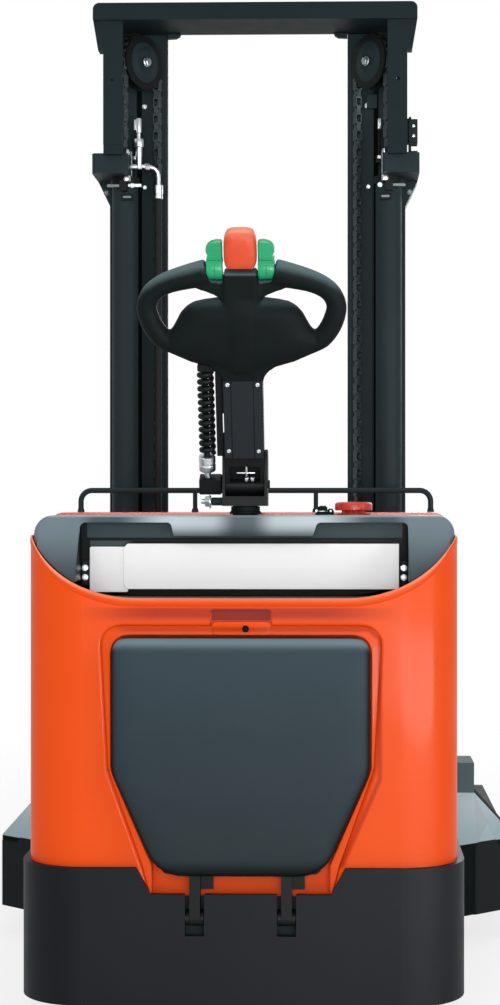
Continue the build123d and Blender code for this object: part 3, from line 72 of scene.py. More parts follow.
class Signal:
    """A shader socket that takes part in Python expressions, each of which adds its nodes."""

    def __init__(self, tree, socket=None):
        self.tree = tree
        self.socket = socket

    def node(self, kind, settings=None, inputs=None, output=0):
        """Any shader node: its settings first, then a value or a link for each named socket."""
        made = self.tree.nodes.new(kind)
        for key, value in (settings or {}).items():
            setattr(made, key, value)
        for key, value in (inputs or {}).items():
            if isinstance(value, Signal):
                self.tree.links.new(value.socket, made.inputs[key])
            else:
                made.inputs[key].default_value = value
        return Signal(self.tree, made.outputs[output])

    def math(self, operation, *values):
        """Math node on values and links."""
        return self.node("ShaderNodeMath", {"operation": operation}, dict(enumerate(values)))

    def __add__(self, other):
        return self.math("ADD", self, other)

    def __sub__(self, other):
        return self.math("SUBTRACT", self, other)

    def __rsub__(self, other):
        return self.math("SUBTRACT", other, self)

    def __mul__(self, other):
        return self.math("MULTIPLY", self, other)

    def __abs__(self):
        return self.math("ABSOLUTE", self)

    __radd__ = __add__
    __rmul__ = __mul__

    def clamp(self):
        """This value kept from 0 to 1."""
        return self.node("ShaderNodeClamp", None, {0: self})

    def between(self, low, high):
        """0 below low, 1 above high and a smooth step between them."""
        settings = {"interpolation_type": "SMOOTHSTEP"}
        return self.node("ShaderNodeMapRange", settings, {0: self, 1: low, 2: high, 3: 0.0, 4: 1.0})

    def tint(self, first, second):
        """Mix from first to second, links or colour codes, as this value goes from 0 to 1."""
        ends = [colour(end) if isinstance(end, str) else end for end in (first, second)]
        return self.node("ShaderNodeMix", {"data_type": "RGBA"}, {0: self, 6: ends[0], 7: ends[1]}, 2)


def colour(code):
    """Linear colour from a screen colour code such as f05a22."""
    levels = [int(code[place:place + 2], 16) / 255 for place in (0, 2, 4)]
    linear = [level / 12.92 if level <= 0.04045 else ((level + 0.055) / 1.055) ** 2.4 for level in levels]
    return (*linear, 1.0)


class Finish:
    """A material under construction: its surface point, common patterns and the principled shader."""

    def __init__(self, name):
        self.material = bpy.data.materials.new(name)
        self.material.use_nodes = True
        self.tree = self.material.node_tree
        self.shader = self.tree.nodes["Principled BSDF"]
        self.root = Signal(self.tree)
        self.place = self.root.node("ShaderNodeTexCoord", output="Object")

    def noise(self, scale, detail, roughness=0.5, place=None):
        """Cloudy pattern, from 0 to 1."""
        inputs = {"Vector": place or self.place, "Scale": scale, "Detail": detail, "Roughness": roughness}
        return self.root.node("ShaderNodeTexNoise", {"noise_dimensions": "3D"}, inputs)

    def grains(self, scale):
        """Distance to the nearest of many scattered points, as a moulded grain has."""
        return self.root.node("ShaderNodeTexVoronoi", None, {"Vector": self.place, "Scale": scale})

    def stretched(self, x, y, z):
        """The surface point, scaled along each axis, for streaks."""
        settings = {"operation": "MULTIPLY"}
        return self.root.node("ShaderNodeVectorMath", settings, {0: self.place, 1: (x, y, z)})

    def axis(self, name):
        """The surface point's X, Y or Z, in metres."""
        return self.root.node("ShaderNodeSeparateXYZ", None, {0: self.place}, name)

    def facing(self, direction):
        """How squarely the surface faces a direction, from 1 to -1."""
        normal = self.root.node("ShaderNodeNewGeometry", output="Normal")
        settings = {"operation": "DOT_PRODUCT"}
        return self.root.node("ShaderNodeVectorMath", settings, {0: normal, 1: direction}, "Value")

    def soft_edges(self, radius):
        """Normal that rounds sharp edges by a small radius."""
        return self.root.node("ShaderNodeBevel", {"samples": 4}, {"Radius": radius})

    def edge_wear(self, radius):
        """1 along sharp edges and 0 on open faces."""
        rounded = self.soft_edges(radius)
        normal = self.root.node("ShaderNodeNewGeometry", output="Normal")
        settings = {"operation": "DOT_PRODUCT"}
        squareness = self.root.node("ShaderNodeVectorMath", settings, {0: rounded, 1: normal}, "Value")
        return (1 - squareness).between(0.02, 0.25)

    def bump(self, height, strength, distance, radius):
        """Normal with fine relief on it, over edges rounded by a radius."""
        inputs = {"Height": height, "Strength": strength, "Distance": distance}
        inputs["Normal"] = self.soft_edges(radius)
        return self.root.node("ShaderNodeBump", None, inputs)

    def highest(self, first, *others):
        """The greatest of several values at each point."""
        for other in others:
            first = self.root.math("MAXIMUM", first, other)
        return first

    def done(self, **sockets):
        """Sets the principled shader's sockets and hands the material over."""
        for key, value in sockets.items():
            socket = self.shader.inputs[key.replace("_", " ")]
            if isinstance(value, Signal):
                self.tree.links.new(value.socket, socket)
            else:
                socket.default_value = value
        return self.material


# Finishes

COVER_ORANGE = ("ea4c12", "ef561b")


def orange_gloss():
    """Glossy orange moulding, with painted shade in a band under the rear rim, in the pull pocket and in a
    groove line round the platform's recess.
    """
    look = Finish("orange_gloss")
    slow = look.noise(3.0, detail=2.0)
    peel = look.noise(260.0, detail=2.0)
    base = slow.tint(*COVER_ORANGE)
    height = look.axis("Z")
    across = look.axis("X")
    rear = 1 - look.axis("Y").between(-1.0070, -1.0060)
    # Painted shade: a band under the rear rim's roll, darkened as if the roll shaded it
    sunk = height.between(0.752, 0.770) * (1 - height.between(0.779, 0.786))
    sunk = sunk * (1 - abs(across).between(0.15, 0.33))
    base = (0.85 * sunk * rear).tint(base, "a82a14")
    # Painted shade: the pull pocket, darker where it lies deep in the cover
    pocket = height.between(0.7570, 0.7590) * (1 - height.between(0.7780, 0.7795))
    pocket = pocket * (1 - abs(across).between(0.0545, 0.0575))
    hollow_shade = look.axis("Y").between(-1.0080, -1.0070) * (1 - look.axis("Y").between(-0.9600, -0.9590))
    base = (pocket * hollow_shade).tint(base, "8a2a1c")
    # Painted shade of a groove round the platform's recess, which the bump also dents a little: distances
    # beyond its side, its slanted foot, its head and the corner between them
    beside = across - 0.2600
    below = 0.9168 * (across - 0.2620) - 0.3998 * (height - 0.4650)
    above = height - 0.7420
    cut = 0.7071 * (beside + above) + 0.0130
    recess_edge = look.highest(beside, below, above, cut)
    groove_shade = (1 - abs(recess_edge).between(0.0010, 0.0075)) * across.between(-0.255, -0.200)
    groove_shade = groove_shade * (1 - look.axis("Y").between(-1.0040, -1.0030)) * height.between(0.292, 0.300)
    base = (0.75 * groove_shade).tint(base, "b4300f")
    rough = 0.30 + 0.10 * look.noise(14.0, detail=4.0)
    polish = 0.04 * look.facing(REARWARD).between(0.50, 0.85)
    return look.done(
        Base_Color=base,
        Roughness=rough,
        Normal=look.bump(peel - 6.0 * groove_shade, strength=0.05, distance=0.0006, radius=0.003),
        Coat_Weight=polish,
        Coat_Roughness=0.08,
        Specular_IOR_Level=0.06,
    )


def rim_painted_highlight():
    """The same orange on the rolled rim, with a painted highlight along its top, strongest towards its ends.
    """
    look = Finish("rim_painted_highlight")
    slow = look.noise(3.0, detail=2.0)
    base = slow.tint(*COVER_ORANGE)
    ends = abs(look.axis("X")).between(0.24, 0.38)
    # Painted highlight on the roll's upper face
    top = look.facing((0.0, -0.4, 0.92)).between(0.35, 0.85)
    base = (top * (0.45 + 0.45 * ends)).tint(base, "f79a78")
    return look.done(
        Base_Color=base,
        Roughness=0.30 + 0.10 * look.noise(14.0, detail=4.0),
        Normal=look.bump(look.noise(260.0, detail=2.0), strength=0.03, distance=0.0006, radius=0.002),
        Specular_IOR_Level=0.06,
    )


def lid_gloss():
    """The same orange on the lid, polished so that its top takes the light at a low angle."""
    look = Finish("lid_gloss")
    slow = look.noise(3.0, detail=2.0)
    return look.done(
        Base_Color=slow.tint(*COVER_ORANGE),
        Roughness=0.16 + 0.08 * look.noise(14.0, detail=4.0),
        Normal=look.bump(look.noise(260.0, detail=2.0), strength=0.03, distance=0.0006, radius=0.003),
        Coat_Weight=0.6,
        Coat_Roughness=0.1,
    )


def grained_plastic(name, dark, light, grain, strength, rough, gleam=0.25):
    """Satin moulded plastic with a spark-eroded grain."""
    look = Finish(name)
    slow = look.noise(5.0, detail=3.0)
    grit = look.grains(grain)
    base = (0.75 * slow + 0.25 * grit).clamp().tint(dark, light)
    roughness = rough + 0.12 * look.noise(30.0, detail=3.0)
    return look.done(
        Base_Color=base,
        Roughness=roughness,
        Normal=look.bump(grit, strength, distance=0.0005, radius=0.002),
        Specular_IOR_Level=gleam,
    )


def console_plastic():
    """Grey moulded console, with painted light and shade: paler high up and darker towards the rim, a painted
    reflection along its crown, and painted shade nearly black inside its mouth.
    """
    look = Finish("console_grain")
    slow = look.noise(5.0, detail=3.0)
    grit = look.grains(900.0)
    height = look.axis("Z")
    across = abs(look.axis("X"))
    # Painted light and shade: the sides paler high up and darker towards the rim, the brow dark at its foot
    low = (0.75 * slow + 0.25 * grit).clamp().tint("333d43", "3d484e")
    high = slow.tint("68777f", "74848c")
    side = height.between(0.815, 0.945).tint(low, high)
    brow = height.between(0.902, 0.950).tint("242e33", slow.tint("45545b", "4d5c63"))
    base = across.between(0.285, 0.325).tint(brow, side)
    # Painted reflection along the crown, much weaker in the middle below the tiller column
    crown = height.between(0.908, 0.943) * (0.15 + 0.85 * across.between(0.014, 0.066))
    crown = crown * (1 - across.between(0.13, 0.25))
    base = (0.92 * crown).tint(base, "c8d6dc")
    # Painted highlight along the crown's top edge
    base = (0.8 * height.between(0.9500, 0.9545)).tint(base, "a4b1b7")
    # Painted shade inside the mouth: near black, greyer on the pockets and on the strip at the left
    slanted_face = -1.004104 + 0.782 * (height - 0.799)
    inside = (look.axis("Y") - slanted_face).between(0.0015, 0.0035) * (1 - across.between(0.3180, 0.3186))
    inside = inside * (1 - height.between(0.9425, 0.9435))
    pocket = height.between(0.9112, 0.9122) * (1 - across.between(0.3060, 0.3075))
    strip = height.between(0.8950, 0.8955) * (1 - height.between(0.9052, 0.9060))
    strip = strip * (1 - across.between(0.300, 0.301))
    strip = strip * (1 - look.axis("X").between(-0.240, -0.210))
    hollow_shade = pocket.tint("0b0d0f", "37474a")
    hollow_shade = strip.tint(hollow_shade, "414c4f")
    base = inside.tint(base, hollow_shade)
    return look.done(
        Base_Color=base,
        Roughness=0.38 + 0.12 * look.noise(30.0, detail=3.0),
        Normal=look.bump(grit, strength=0.10, distance=0.0005, radius=0.002),
        Specular_IOR_Level=0.08,
    )


def pad_moulding():
    """Slate moulding of the folded platform, with painted light and shade: darker low down, painted shade on
    its rolled edges and foot, and a painted highlight along its top edge.
    """
    look = Finish("pad_grain")
    slow = look.noise(5.0, detail=3.0)
    grit = look.grains(700.0)
    height = look.axis("Z")
    # Painted shade: darker towards the bottom
    low = height.between(0.32, 0.52).tint("283132", "2d383e")
    base = height.between(0.50, 0.71).tint(low, "344249")
    base = (0.25 * slow + 0.15 * grit).clamp().tint(base, "3a484f")
    # Painted shade on the rolled edges
    rolled = 1 - look.facing(REARWARD).between(0.45, 0.985)
    base = (0.9 * rolled).tint(base, "0b0f11")
    # Painted highlight where the edge turns up
    upward = look.facing(UPWARD)
    lit = upward.between(0.12, 0.55) * (1 - upward.between(0.80, 0.97))
    base = (0.9 * lit).tint(base, "71848d")
    # Painted shade along the foot
    base = (0.9 - 0.9 * height.between(0.284, 0.320)).tint(base, "0d1213")
    return look.done(
        Base_Color=base,
        Roughness=0.42 + 0.12 * look.noise(30.0, detail=3.0),
        Normal=look.bump(grit, strength=0.10, distance=0.0005, radius=0.002),
        Specular_IOR_Level=0.05,
    )


def head_plastic():
    """Nearly black moulding of the tiller head, with a painted highlight on the tops of its grips."""
    look = Finish("head_grain")
    slow = look.noise(5.0, detail=3.0)
    grit = look.grains(800.0)
    base = (0.75 * slow + 0.25 * grit).clamp().tint("101516", "191f20")
    # Painted highlight on the grips' upper faces
    grip_highlight = look.facing((0.0, -0.42, 0.91)).between(0.25, 0.90) * look.axis("Z").between(1.335, 1.385)
    base = (0.9 * grip_highlight).tint(base, "5e7072")
    return look.done(
        Base_Color=base,
        Roughness=0.46 + 0.12 * look.noise(30.0, detail=3.0),
        Normal=look.bump(grit, strength=0.18, distance=0.0005, radius=0.002),
        Specular_IOR_Level=0.04,
    )


def belly_plastic():
    """Orange button, with a painted highlight on its rounded top."""
    look = Finish("button_orange")
    slow = look.noise(40.0, detail=3.0)
    base = slow.tint("d84522", "e45a36")
    # Painted highlight on the rounded top
    base = (0.7 * look.axis("Z").between(1.462, 1.486)).tint(base, "f09a7e")
    return look.done(
        Base_Color=base,
        Roughness=0.34 + 0.12 * look.noise(90.0, detail=3.0),
        Normal=look.bump(look.noise(700.0, detail=2.0), strength=0.06, distance=0.0003, radius=0.001),
        Specular_IOR_Level=0.2,
    )


def shoulder_paint():
    """Leg shoulder: pale slope to the rear, dark on its upright faces and along its outer side."""
    look = Finish("shoulder_paint")
    slow = look.noise(5.0, detail=4.0)
    height = look.axis("Z")
    dark = slow.tint("101415", "181d1e")
    pale = height.between(0.23, 0.32).tint("9db5bb", "b4c9ce")
    slope = look.facing(UPWARD).between(0.15, 0.22) * look.facing(REARWARD).between(0.45, 0.55)
    return look.done(
        Base_Color=slope.tint(dark, pale),
        Roughness=0.58 + 0.14 * look.noise(22.0, detail=4.0),
        Normal=look.bump(look.noise(420.0, detail=2.0), strength=0.10, distance=0.0004, radius=0.0015),
        Specular_IOR_Level=0.01,
    )


def satin_paint(name, dark, light, rough, worn, gleam):
    """Powder coat on steel: fine texture, slow shifts of tone, edges rubbed a little lighter."""
    look = Finish(name)
    slow = look.noise(4.0, detail=4.0)
    fine = look.noise(420.0, detail=2.0)
    base = slow.tint(dark, light)
    scuffs = look.edge_wear(0.0015) * look.noise(60.0, detail=3.0).between(0.35, 0.75)
    base = scuffs.tint(base, worn)
    roughness = rough + 0.14 * look.noise(22.0, detail=4.0)
    return look.done(
        Base_Color=base,
        Roughness=roughness,
        Normal=look.bump(fine, strength=0.10, distance=0.0004, radius=0.0012),
        Specular_IOR_Level=gleam,
    )


def white_panel():
    """Satin white paint with faint brush-like streaks along the panel."""
    look = Finish("white_panel")
    streaks = look.noise(6.0, detail=4.0, place=look.stretched(0.6, 4.0, 14.0))
    base = streaks.tint("fafbfd", "ffffff")
    rough = 0.35 + 0.12 * look.noise(40.0, detail=3.0)
    return look.done(
        Base_Color=base,
        Roughness=rough,
        Normal=look.bump(streaks, strength=0.04, distance=0.0005, radius=0.002),
        Specular_IOR_Level=0.15,
    )


def signal_plastic(name, dark, light):
    """Glossy coloured moulding for hand controls."""
    look = Finish(name)
    slow = look.noise(40.0, detail=3.0)
    fine = look.noise(700.0, detail=2.0)
    return look.done(
        Base_Color=slow.tint(dark, light),
        Roughness=0.30 + 0.12 * look.noise(90.0, detail=3.0),
        Normal=look.bump(fine, strength=0.06, distance=0.0003, radius=0.001),
        Coat_Weight=0.15,
        Coat_Roughness=0.15,
        Specular_IOR_Level=0.3,
    )


def bright_steel(name, dark, light, rough, streak=90.0):
    """Plated steel with turned or brushed streaks."""
    look = Finish(name)
    streaks = look.noise(streak, detail=4.0, place=look.stretched(1.0, 1.0, 6.0))
    base = streaks.tint(dark, light)
    roughness = rough + 0.16 * look.noise(160.0, detail=3.0)
    return look.done(
        Base_Color=base,
        Metallic=1.0,
        Roughness=roughness,
        Normal=look.bump(streaks, strength=0.08, distance=0.0003, radius=0.0006),
    )


def black_rubber(name, dark="0b0c0d", light="191b1c", rough=0.7):
    """Matt rubber with a fine bloom."""
    look = Finish(name)
    bloom = look.noise(25.0, detail=5.0)
    fine = look.noise(520.0, detail=3.0)
    return look.done(
        Base_Color=bloom.tint(dark, light),
        Roughness=rough + 0.15 * bloom,
        Normal=look.bump(fine, strength=0.2, distance=0.0005, radius=0.001),
        Specular_IOR_Level=0.25,
    )


def cast_metal():
    """Sand-cast housing under grey paint."""
    look = Finish("cast_metal")
    sand = look.noise(180.0, detail=6.0, roughness=0.65)
    slow = look.noise(9.0, detail=4.0)
    return look.done(
        Base_Color=slow.tint("33383b", "50565a"),
        Roughness=0.52 + 0.2 * slow,
        Normal=look.bump(sand, strength=0.35, distance=0.001, radius=0.0015),
        Metallic=0.3,
    )


def leg_paint():
    """Straddle leg: dark beam, and at its root a pale shoulder with a grey block above it."""
    look = Finish("leg_paint")
    slow = look.noise(5.0, detail=4.0)
    fine = look.noise(420.0, detail=2.0)
    height = look.axis("Z")
    dark = slow.tint("161a1b", "202526")
    pale = height.between(0.22, 0.33).tint("a3bac0", "b9cdd2")
    grey = slow.tint("4c6166", "5b7176")
    root = 1 - look.axis("Y").between(-0.1590, -0.1580)
    base = (root * height.between(0.2262, 0.2268)).tint(dark, pale)
    base = (root * (height + 0.0015 * look.noise(40.0, detail=2.0)).between(0.3285, 0.3300)).tint(base, grey)
    scuffs = look.edge_wear(0.0015) * look.noise(60.0, detail=3.0).between(0.4, 0.8)
    base = scuffs.tint(base, "4a5355")
    return look.done(
        Base_Color=base,
        Roughness=0.58 + 0.14 * look.noise(22.0, detail=4.0),
        Normal=look.bump(fine, strength=0.10, distance=0.0004, radius=0.0015),
        Specular_IOR_Level=0.06,
    )


finishes = {
    "orange_cover": orange_gloss(),
    "grey_cover": console_plastic(),
    "white_panel": white_panel(),
    "dark_skirt": satin_paint("skirt_coat", "101317", "191d22", rough=0.42, worn="2c3237", gleam=0.10),
    "slate_pad": pad_moulding(),
    "black_paint": satin_paint("mast_coat", "1f2a2d", "2d393d", rough=0.44, worn="424e51", gleam=0.06),
    "black_plastic": head_plastic(),
    "orange_button": belly_plastic(),
    "green_lever": signal_plastic("lever_green", "0f9660", "1aad74"),
    "red_knob": signal_plastic("knob_red", "b82a20", "d03c30"),
    "bright_steel": bright_steel("zinc_plate", "a8aeb2", "dfe3e6", rough=0.24),
    "chrome_rod": bright_steel("ground_chrome", "c4c8cb", "e6e9eb", rough=0.08, streak=220.0),
    "black_rubber": black_rubber("matt_rubber"),
    "wheel_tyre": black_rubber("tread_rubber", "1a1715", "2b2723", rough=0.55),
    "cast_case": cast_metal(),
    "battery_case": grained_plastic(
        "battery_grain", "1a1d1f", "282c2f", grain=500.0, strength=0.2, rough=0.5,
    ),
}
panel_grain = grained_plastic(
    "panel_grain", "1b2024", "262b30", grain=800.0, strength=0.12, rough=0.40, gleam=0.12,
)
# Darker copy of the black coat: the spring's own black, and also painted shade where it is given to parts
# that lie in shade
coil_black = satin_paint("coil_black", "0b0e0f", "131718", rough=0.40, worn="262c2e", gleam=0.12)
crossbar_coat = satin_paint("crossbar_coat", "172124", "222d30", rough=0.46, worn="3a464a", gleam=0.05)
# Darker copy of the zinc plating, as painted shade on plated clamps and a nut by the head blocks
shaded_zinc = bright_steel("shaded_zinc", "4c5457", "787f82", rough=0.40)
chain_steel = bright_steel("oiled_chain", "343b3e", "5e686b", rough=0.34, streak=140.0)
straddle_coat = leg_paint()
shoulder_coat = shoulder_paint()
# The tiller arm, steering column, platform tray and hinges and the sheaves take the darker coat partly as
# painted shade
own_finish = {
    "left_leg": straddle_coat,
    "right_leg": straddle_coat,
    "hood": lid_gloss(),
    "mast_crossbar": crossbar_coat,
    "head_fittings": coil_black,
    "tiller_arm": coil_black,
    "steer_column": coil_black,
    "platform_tray": coil_black,
    "platform_hinges": coil_black,
    "left_sheave": coil_black,
    "right_sheave": coil_black,
}
for row in frame["record"]["subparts"]:
    mesh = nodes[row["node"]].data
    mesh.materials.clear()
    mesh.materials.append(own_finish.get(row["node"], finishes[row["material_slot"]]))


# Mesh building

MILLIMETRE = 0.001
ORIGIN_DEPTH = 1022.104
TILLER_DEPTH = 198
TILT_PIN_Z = 1016
TILLER_LEAN = 25.0


def at(x, depth, z):
    """Point of the frame from millimetres: across, forward of the skirt's rear face, and up."""
    return Vector((x, depth - ORIGIN_DEPTH, z)) * MILLIMETRE


def turned(angle, axis):
    """Matrix of a turn, in degrees, about an axis."""
    return Matrix.Rotation(math.radians(angle), 4, axis)


def placed(x, depth, z, axis=UPWARD, turn=0.0):
    """Matrix that puts a millimetre model at a place, with its own Z along an axis."""
    tilt = Vector(axis).to_track_quat("Z", "Y").to_matrix().to_4x4()
    return Matrix.Translation(at(x, depth, z)) @ tilt @ turned(turn, "Z") @ Matrix.Scale(MILLIMETRE, 4)


Z_FORWARD = turned(-90.0, "X")
Z_REARWARD = turned(90.0, "X")
Z_RIGHT = turned(90.0, "Y")
Z_LEFT = turned(-90.0, "Y")
FRAME_MM = Matrix.Translation(at(0, 0, 0)) @ Matrix.Scale(MILLIMETRE, 4)
TILLER_PIN = Matrix.Translation(at(0, TILLER_DEPTH, TILT_PIN_Z))
TILLER = TILLER_PIN @ turned(TILLER_LEAN, "X") @ Matrix.Scale(MILLIMETRE, 4)
# For outlines drawn across and up, whose own Z points back to the operator
FRAME_UPRIGHT = FRAME_MM @ Z_REARWARD
TILLER_UPRIGHT = TILLER @ Z_REARWARD


def circle(sides):
    """Cosine and sine at even steps round a full turn."""
    turns = [2 * math.pi * k / sides for k in range(sides)]
    return [(math.cos(turn), math.sin(turn)) for turn in turns]


def headings(points):
    """Direction of a path at each of its points."""
    before = points[:1] + points[:-1]
    after = points[1:] + points[-1:]
    return [(far - near).normalized() for near, far in zip(before, after)]


class Piece:
    """Mesh under construction. Each part of it is given in millimetres, with the matrix that places it."""

    def __init__(self, name):
        self.name = name
        self.mesh = bmesh.new()

    def faces(self, rings, matrix, caps=True):
        """Skin over rings of points; each ring has as many points as the next."""
        rows = [[self.mesh.verts.new(matrix @ Vector(point)) for point in ring] for ring in rings]
        count = len(rows[0])
        for low, high in zip(rows, rows[1:]):
            for i in range(count):
                j = (i + 1) % count
                self.mesh.faces.new((low[i], low[j], high[j], high[i]))
        if caps:
            self.mesh.faces.new(list(reversed(rows[0])))
            self.mesh.faces.new(rows[-1])

    def cap(self, ring, matrix):
        """One face across a ring of points."""
        self.mesh.faces.new([self.mesh.verts.new(matrix @ Vector(point)) for point in ring])

    def lathe(self, profile, matrix, sides):
        """Turned part from pairs of radius and height along its own Z."""
        rings = [[(r * c, r * s, z) for c, s in circle(sides)] for r, z in profile]
        self.faces(rings, matrix)

    def prism(self, points, low, high, matrix, edge=0.0):
        """Outline in its own XY between two heights, its rims cut back by an edge."""
        middle = Vector((sum(p[0] for p in points), sum(p[1] for p in points))) / len(points)
        reach = max((Vector(p) - middle).length for p in points)
        shrink = 1.0 - edge / reach
        small = [middle + (Vector(p) - middle) * shrink for p in points]
        rings = [[(p[0], p[1], low) for p in small]] if edge else []
        rings += [[(p[0], p[1], low + edge) for p in points], [(p[0], p[1], high - edge) for p in points]]
        rings += [[(p[0], p[1], high) for p in small]] if edge else []
        self.faces(rings, matrix)

    def tube(self, path, radius, matrix, sides):
        """Round bar along a path of points; the radius is one size, or one for each point."""
        points = [Vector(p) for p in path]
        radii = radius if isinstance(radius, list) else [radius] * len(points)
        ways = headings(points)
        normal = ways[0].orthogonal().normalized()
        rings = []
        for point, way, size in zip(points, ways, radii):
            normal = (normal - way * normal.dot(way)).normalized()
            other = way.cross(normal)
            rings.append([point + (normal * c + other * s) * size for c, s in circle(sides)])
        self.faces(rings, matrix)

    def bolt(self, matrix, size):
        """Hexagon head with a chamfered top, on a washer, its Z out of the surface."""
        washer = [(0.55, 0.0), (1.05, 0.0), (1.1, 0.05), (1.1, 0.2), (1.05, 0.25), (0.5, 0.25)]
        self.lathe([(r * size, z * size) for r, z in washer], matrix, sides=20)
        low = 0.25 * size
        levels = [(0.95, low), (0.95, low + 0.55 * size), (0.80, low + 0.7 * size), (0.3, low + 0.72 * size)]
        rings = [[(x * share * size, y * share * size, z) for x, y in circle(6)] for share, z in levels]
        self.faces(rings, matrix)

    def screw(self, matrix, size):
        """Round pan head with a sunk socket."""
        pan = [(1.0, 0.0), (1.0, 0.25), (0.85, 0.5), (0.5, 0.62), (0.42, 0.60), (0.36, 0.3)]
        self.lathe([(r * size, z * size) for r, z in pan], matrix, sides=18)

    def finish(self, body, slot, material=None, smooth=40.0, rounding=0.0, stands_for=()):
        """Object of this mesh on a body, in its slot's finish or its own, with shading and rounded edges."""
        bmesh.ops.recalc_face_normals(self.mesh, faces=self.mesh.faces)
        data = bpy.data.meshes.new(self.name)
        self.mesh.to_mesh(data)
        self.mesh.free()
        made = bpy.data.objects.new(self.name, data)
        scene.collection.objects.link(made)
        data.materials.append(material or finishes[slot])
        data.shade_smooth()
        data.set_sharp_from_angle(angle=math.radians(smooth))
        if rounding > 0:
            bevel = made.modifiers.new("rounding", "BEVEL")
            bevel.width = rounding * MILLIMETRE
            bevel.segments = 3
            bevel.limit_method = "ANGLE"
            bevel.angle_limit = math.radians(smooth)
            bevel.harden_normals = True
        if body:
            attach(made, body)
        if stands_for:
            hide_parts(*stands_for)
        return made


def arc_points(centre, radius, start, end, steps):
    """Points on an arc, in degrees."""
    angles = [math.radians(start + (end - start) * k / steps) for k in range(steps + 1)]
    return [(centre[0] + radius * math.cos(a), centre[1] + radius * math.sin(a)) for a in angles]


def rounded(points, radius, steps=5):
    """Outline with each corner turned into an arc-like bend."""
    out = []
    count = len(points)
    for i, corner in enumerate(points):
        size = radius[i] if isinstance(radius, list) else radius
        here = Vector(corner)
        before = Vector(points[i - 1]) - here
        after = Vector(points[(i + 1) % count]) - here
        half = before.angle(after) / 2
        cut = min(size / math.tan(half), 0.48 * before.length, 0.48 * after.length)
        first = here + before.normalized() * cut
        last = here + after.normalized() * cut
        for k in range(steps + 1):
            t = k / steps
            out.append(tuple(first * (1 - t) ** 2 + here * 2 * t * (1 - t) + last * t * t))
    return out


def oblong(left, right, low, high):
    """Corners of a rectangle."""
    return [(left, low), (right, low), (right, high), (left, high)]


def mirrored(points):
    """Points on the other side of the machine's middle."""
    return [(-x, *rest) for x, *rest in points]


def both_sides(right):
    """Whole outline from its right half, which begins and ends short of the middle."""
    return mirrored(right[:1]) + right + mirrored(reversed(right[1:]))


def squircle(half_x, half_y, power, count):
    """Oval that fills out towards a rectangle as its power rises."""
    out = []
    for c, s in circle(count):
        x = half_x * math.copysign(abs(c) ** (2 / power), c)
        y = half_y * math.copysign(abs(s) ** (2 / power), s)
        out.append((x, y))
    return out


def smooth_path(points, steps):
    """Points of a smooth curve through the given ones."""
    spots = [Vector(p) for p in points]
    spots = [2 * spots[0] - spots[1]] + spots + [2 * spots[-1] - spots[-2]]
    out = []
    for a, b, c, d in zip(spots, spots[1:], spots[2:], spots[3:]):
        for k in range(steps):
            t = k / steps
            out.append(0.5 * (2 * b + (c - a) * t + (2 * a - 5 * b + 4 * c - d) * t * t
                              + (3 * b - a - 3 * c + d) * t ** 3))
    return out + [spots[-2]]


def keep_modified(made):
    """Gives a piece the mesh that its modifiers make, shaded smooth."""
    bpy.context.view_layer.update()
    evaluated = made.evaluated_get(bpy.context.evaluated_depsgraph_get())
    data = bpy.data.meshes.new_from_object(evaluated)
    made.modifiers.clear()
    made.data = data
    data.shade_smooth()


# Tiller head and hand controls

def settle(made, voxel, rounds):
    """Melts the overlapping parts of a mesh into one skin and eases its creases."""
    melt = made.modifiers.new("melt", "REMESH")
    melt.mode = "VOXEL"
    melt.voxel_size = voxel
    ease = made.modifiers.new("ease", "SMOOTH")
    ease.factor = 0.5
    ease.iterations = rounds
    keep_modified(made)


